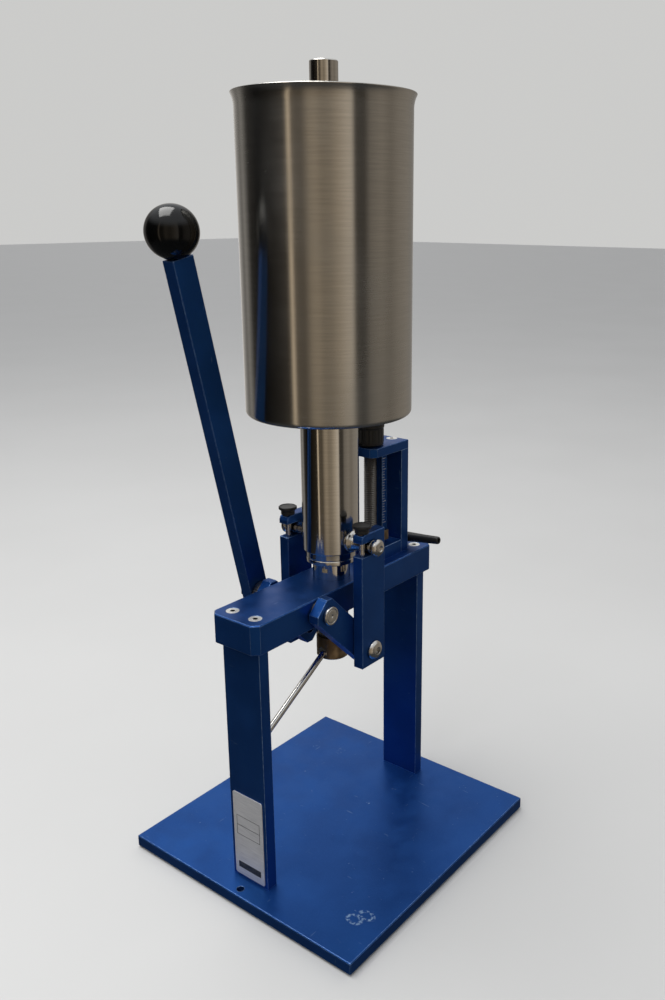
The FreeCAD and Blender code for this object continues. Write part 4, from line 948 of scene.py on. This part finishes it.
def build_room():
    """World light: a plain pale backdrop for the camera, and soft upright bands for reflections."""
    world = bpy.data.worlds.new("studio")
    bpy.context.scene.world = world
    world.use_nodes = True
    nodes, links = world.node_tree.nodes, world.node_tree.links
    nodes.clear()

    def put(source, target):
        if isinstance(source, bpy.types.NodeSocket):
            links.new(source, target)
        else:
            target.default_value = source

    def sum_of(operation, first, second=0.0):
        node = nodes.new("ShaderNodeMath")
        node.operation = operation
        put(first, node.inputs[0])
        put(second, node.inputs[1])
        return node.outputs[0]

    def rise(value, start, end):
        node = nodes.new("ShaderNodeMapRange")
        node.interpolation_type = "SMOOTHSTEP"
        put(value, node.inputs["Value"])
        put(start, node.inputs["From Min"])
        put(end, node.inputs["From Max"])
        return node.outputs[0]

    def blend(share, first, second):
        node = nodes.new("ShaderNodeMix")
        node.data_type = "RGBA"
        put(share, node.inputs["Factor"])
        put(first, node.inputs[6])
        put(second, node.inputs[7])
        return node.outputs[2]

    split = nodes.new("ShaderNodeSeparateXYZ")
    put(nodes.new("ShaderNodeTexCoord").outputs["Generated"], split.inputs[0])
    bearing = sum_of("ARCTAN2", split.outputs["Y"], split.outputs["X"])
    turned = sum_of("SUBTRACT", bearing, math.radians(CAMERA_TURN) - math.pi)
    share = sum_of("FRACT", sum_of("ADD", sum_of("DIVIDE", turned, 2 * math.pi), 1.5))
    ramp = nodes.new("ShaderNodeValToRGB")
    put(share, ramp.inputs[0])
    elements = ramp.color_ramp.elements
    while len(elements) > 1:
        elements.remove(elements[-1])
    for index, (degrees, bright, warm) in enumerate(ROOM):
        place = degrees / 360 + 0.5
        element = elements[0] if index == 0 else elements.new(place)
        element.position = place
        green, blue = (bright * (1 - loss * warm) for loss in (WARM_GREEN, WARM_BLUE))
        element.color = (bright, green, blue, 1)

    height = split.outputs["Z"]
    above = blend(rise(height, CEILING_FROM, CEILING_TO), ramp.outputs[0], OVERHEAD)
    around = blend(rise(height, GROUND_FROM, GROUND_TO), UNDERFOOT, above)
    camera_ray = nodes.new("ShaderNodeLightPath").outputs["Is Camera Ray"]
    background = nodes.new("ShaderNodeBackground")
    put(blend(camera_ray, around, BACKDROP), background.inputs["Color"])
    put(background.outputs[0], nodes.new("ShaderNodeOutputWorld").inputs[0])


def area_light(name, place, target, size, power, colour, mirrored=True):
    """A soft rectangular light aimed at a target; steel reflects it only if it is mirrored."""
    light = bpy.data.lights.new(name, "AREA")
    light.shape = "RECTANGLE"
    light.size, light.size_y = size
    light.energy = power
    light.color = colour
    item = bpy.data.objects.new(name, light)
    item.location = place
    item.visible_glossy = mirrored
    item.rotation_euler = (Vector(target) - Vector(place)).to_track_quat("-Z", "Y").to_euler()
    bpy.context.scene.collection.objects.link(item)


def build_lights():
    """One broad light overhead and a low fill."""
    centre = (cad_low + cad_high) / 2
    area_light("overhead", (-0.3, 0.5, 2.3), centre, (1.6, 1.2), 38, (1.0, 0.99, 0.97))
    area_light("side_fill", (-1.7, -0.2, 1.5), centre, (0.9, 1.1), 7, (0.96, 0.98, 1.0), False)


def build_camera():
    """The camera, from its turn, dip and roll."""
    turn, dip, roll = (math.radians(angle) for angle in (CAMERA_TURN, CAMERA_DIP, CAMERA_ROLL))
    ahead = Vector((math.cos(turn) * math.cos(dip), math.sin(turn) * math.cos(dip), -math.sin(dip)))
    right = Vector((math.sin(turn), -math.cos(turn), 0))
    above = right.cross(ahead)
    across = right * math.cos(roll) + above * math.sin(roll)
    upward = above * math.cos(roll) - right * math.sin(roll)
    data = bpy.data.cameras.new("camera")
    data.sensor_fit = "VERTICAL"
    data.sensor_width = data.sensor_height = SENSOR
    data.lens = FOCAL_SHARE * SENSOR
    data.shift_x, data.shift_y = SHIFT
    data.clip_start, data.clip_end = CLIP
    camera = bpy.data.objects.new("camera", data)
    axes = Matrix((across, upward, -ahead)).transposed()
    camera.matrix_world = Matrix.Translation(CAMERA_PLACE) @ axes.to_4x4()
    bpy.context.scene.collection.objects.link(camera)
    bpy.context.scene.camera = camera


build_object()
build_floor()
build_room()
build_lights()
build_camera()
bpy.context.scene.view_settings.view_transform = "Standard"
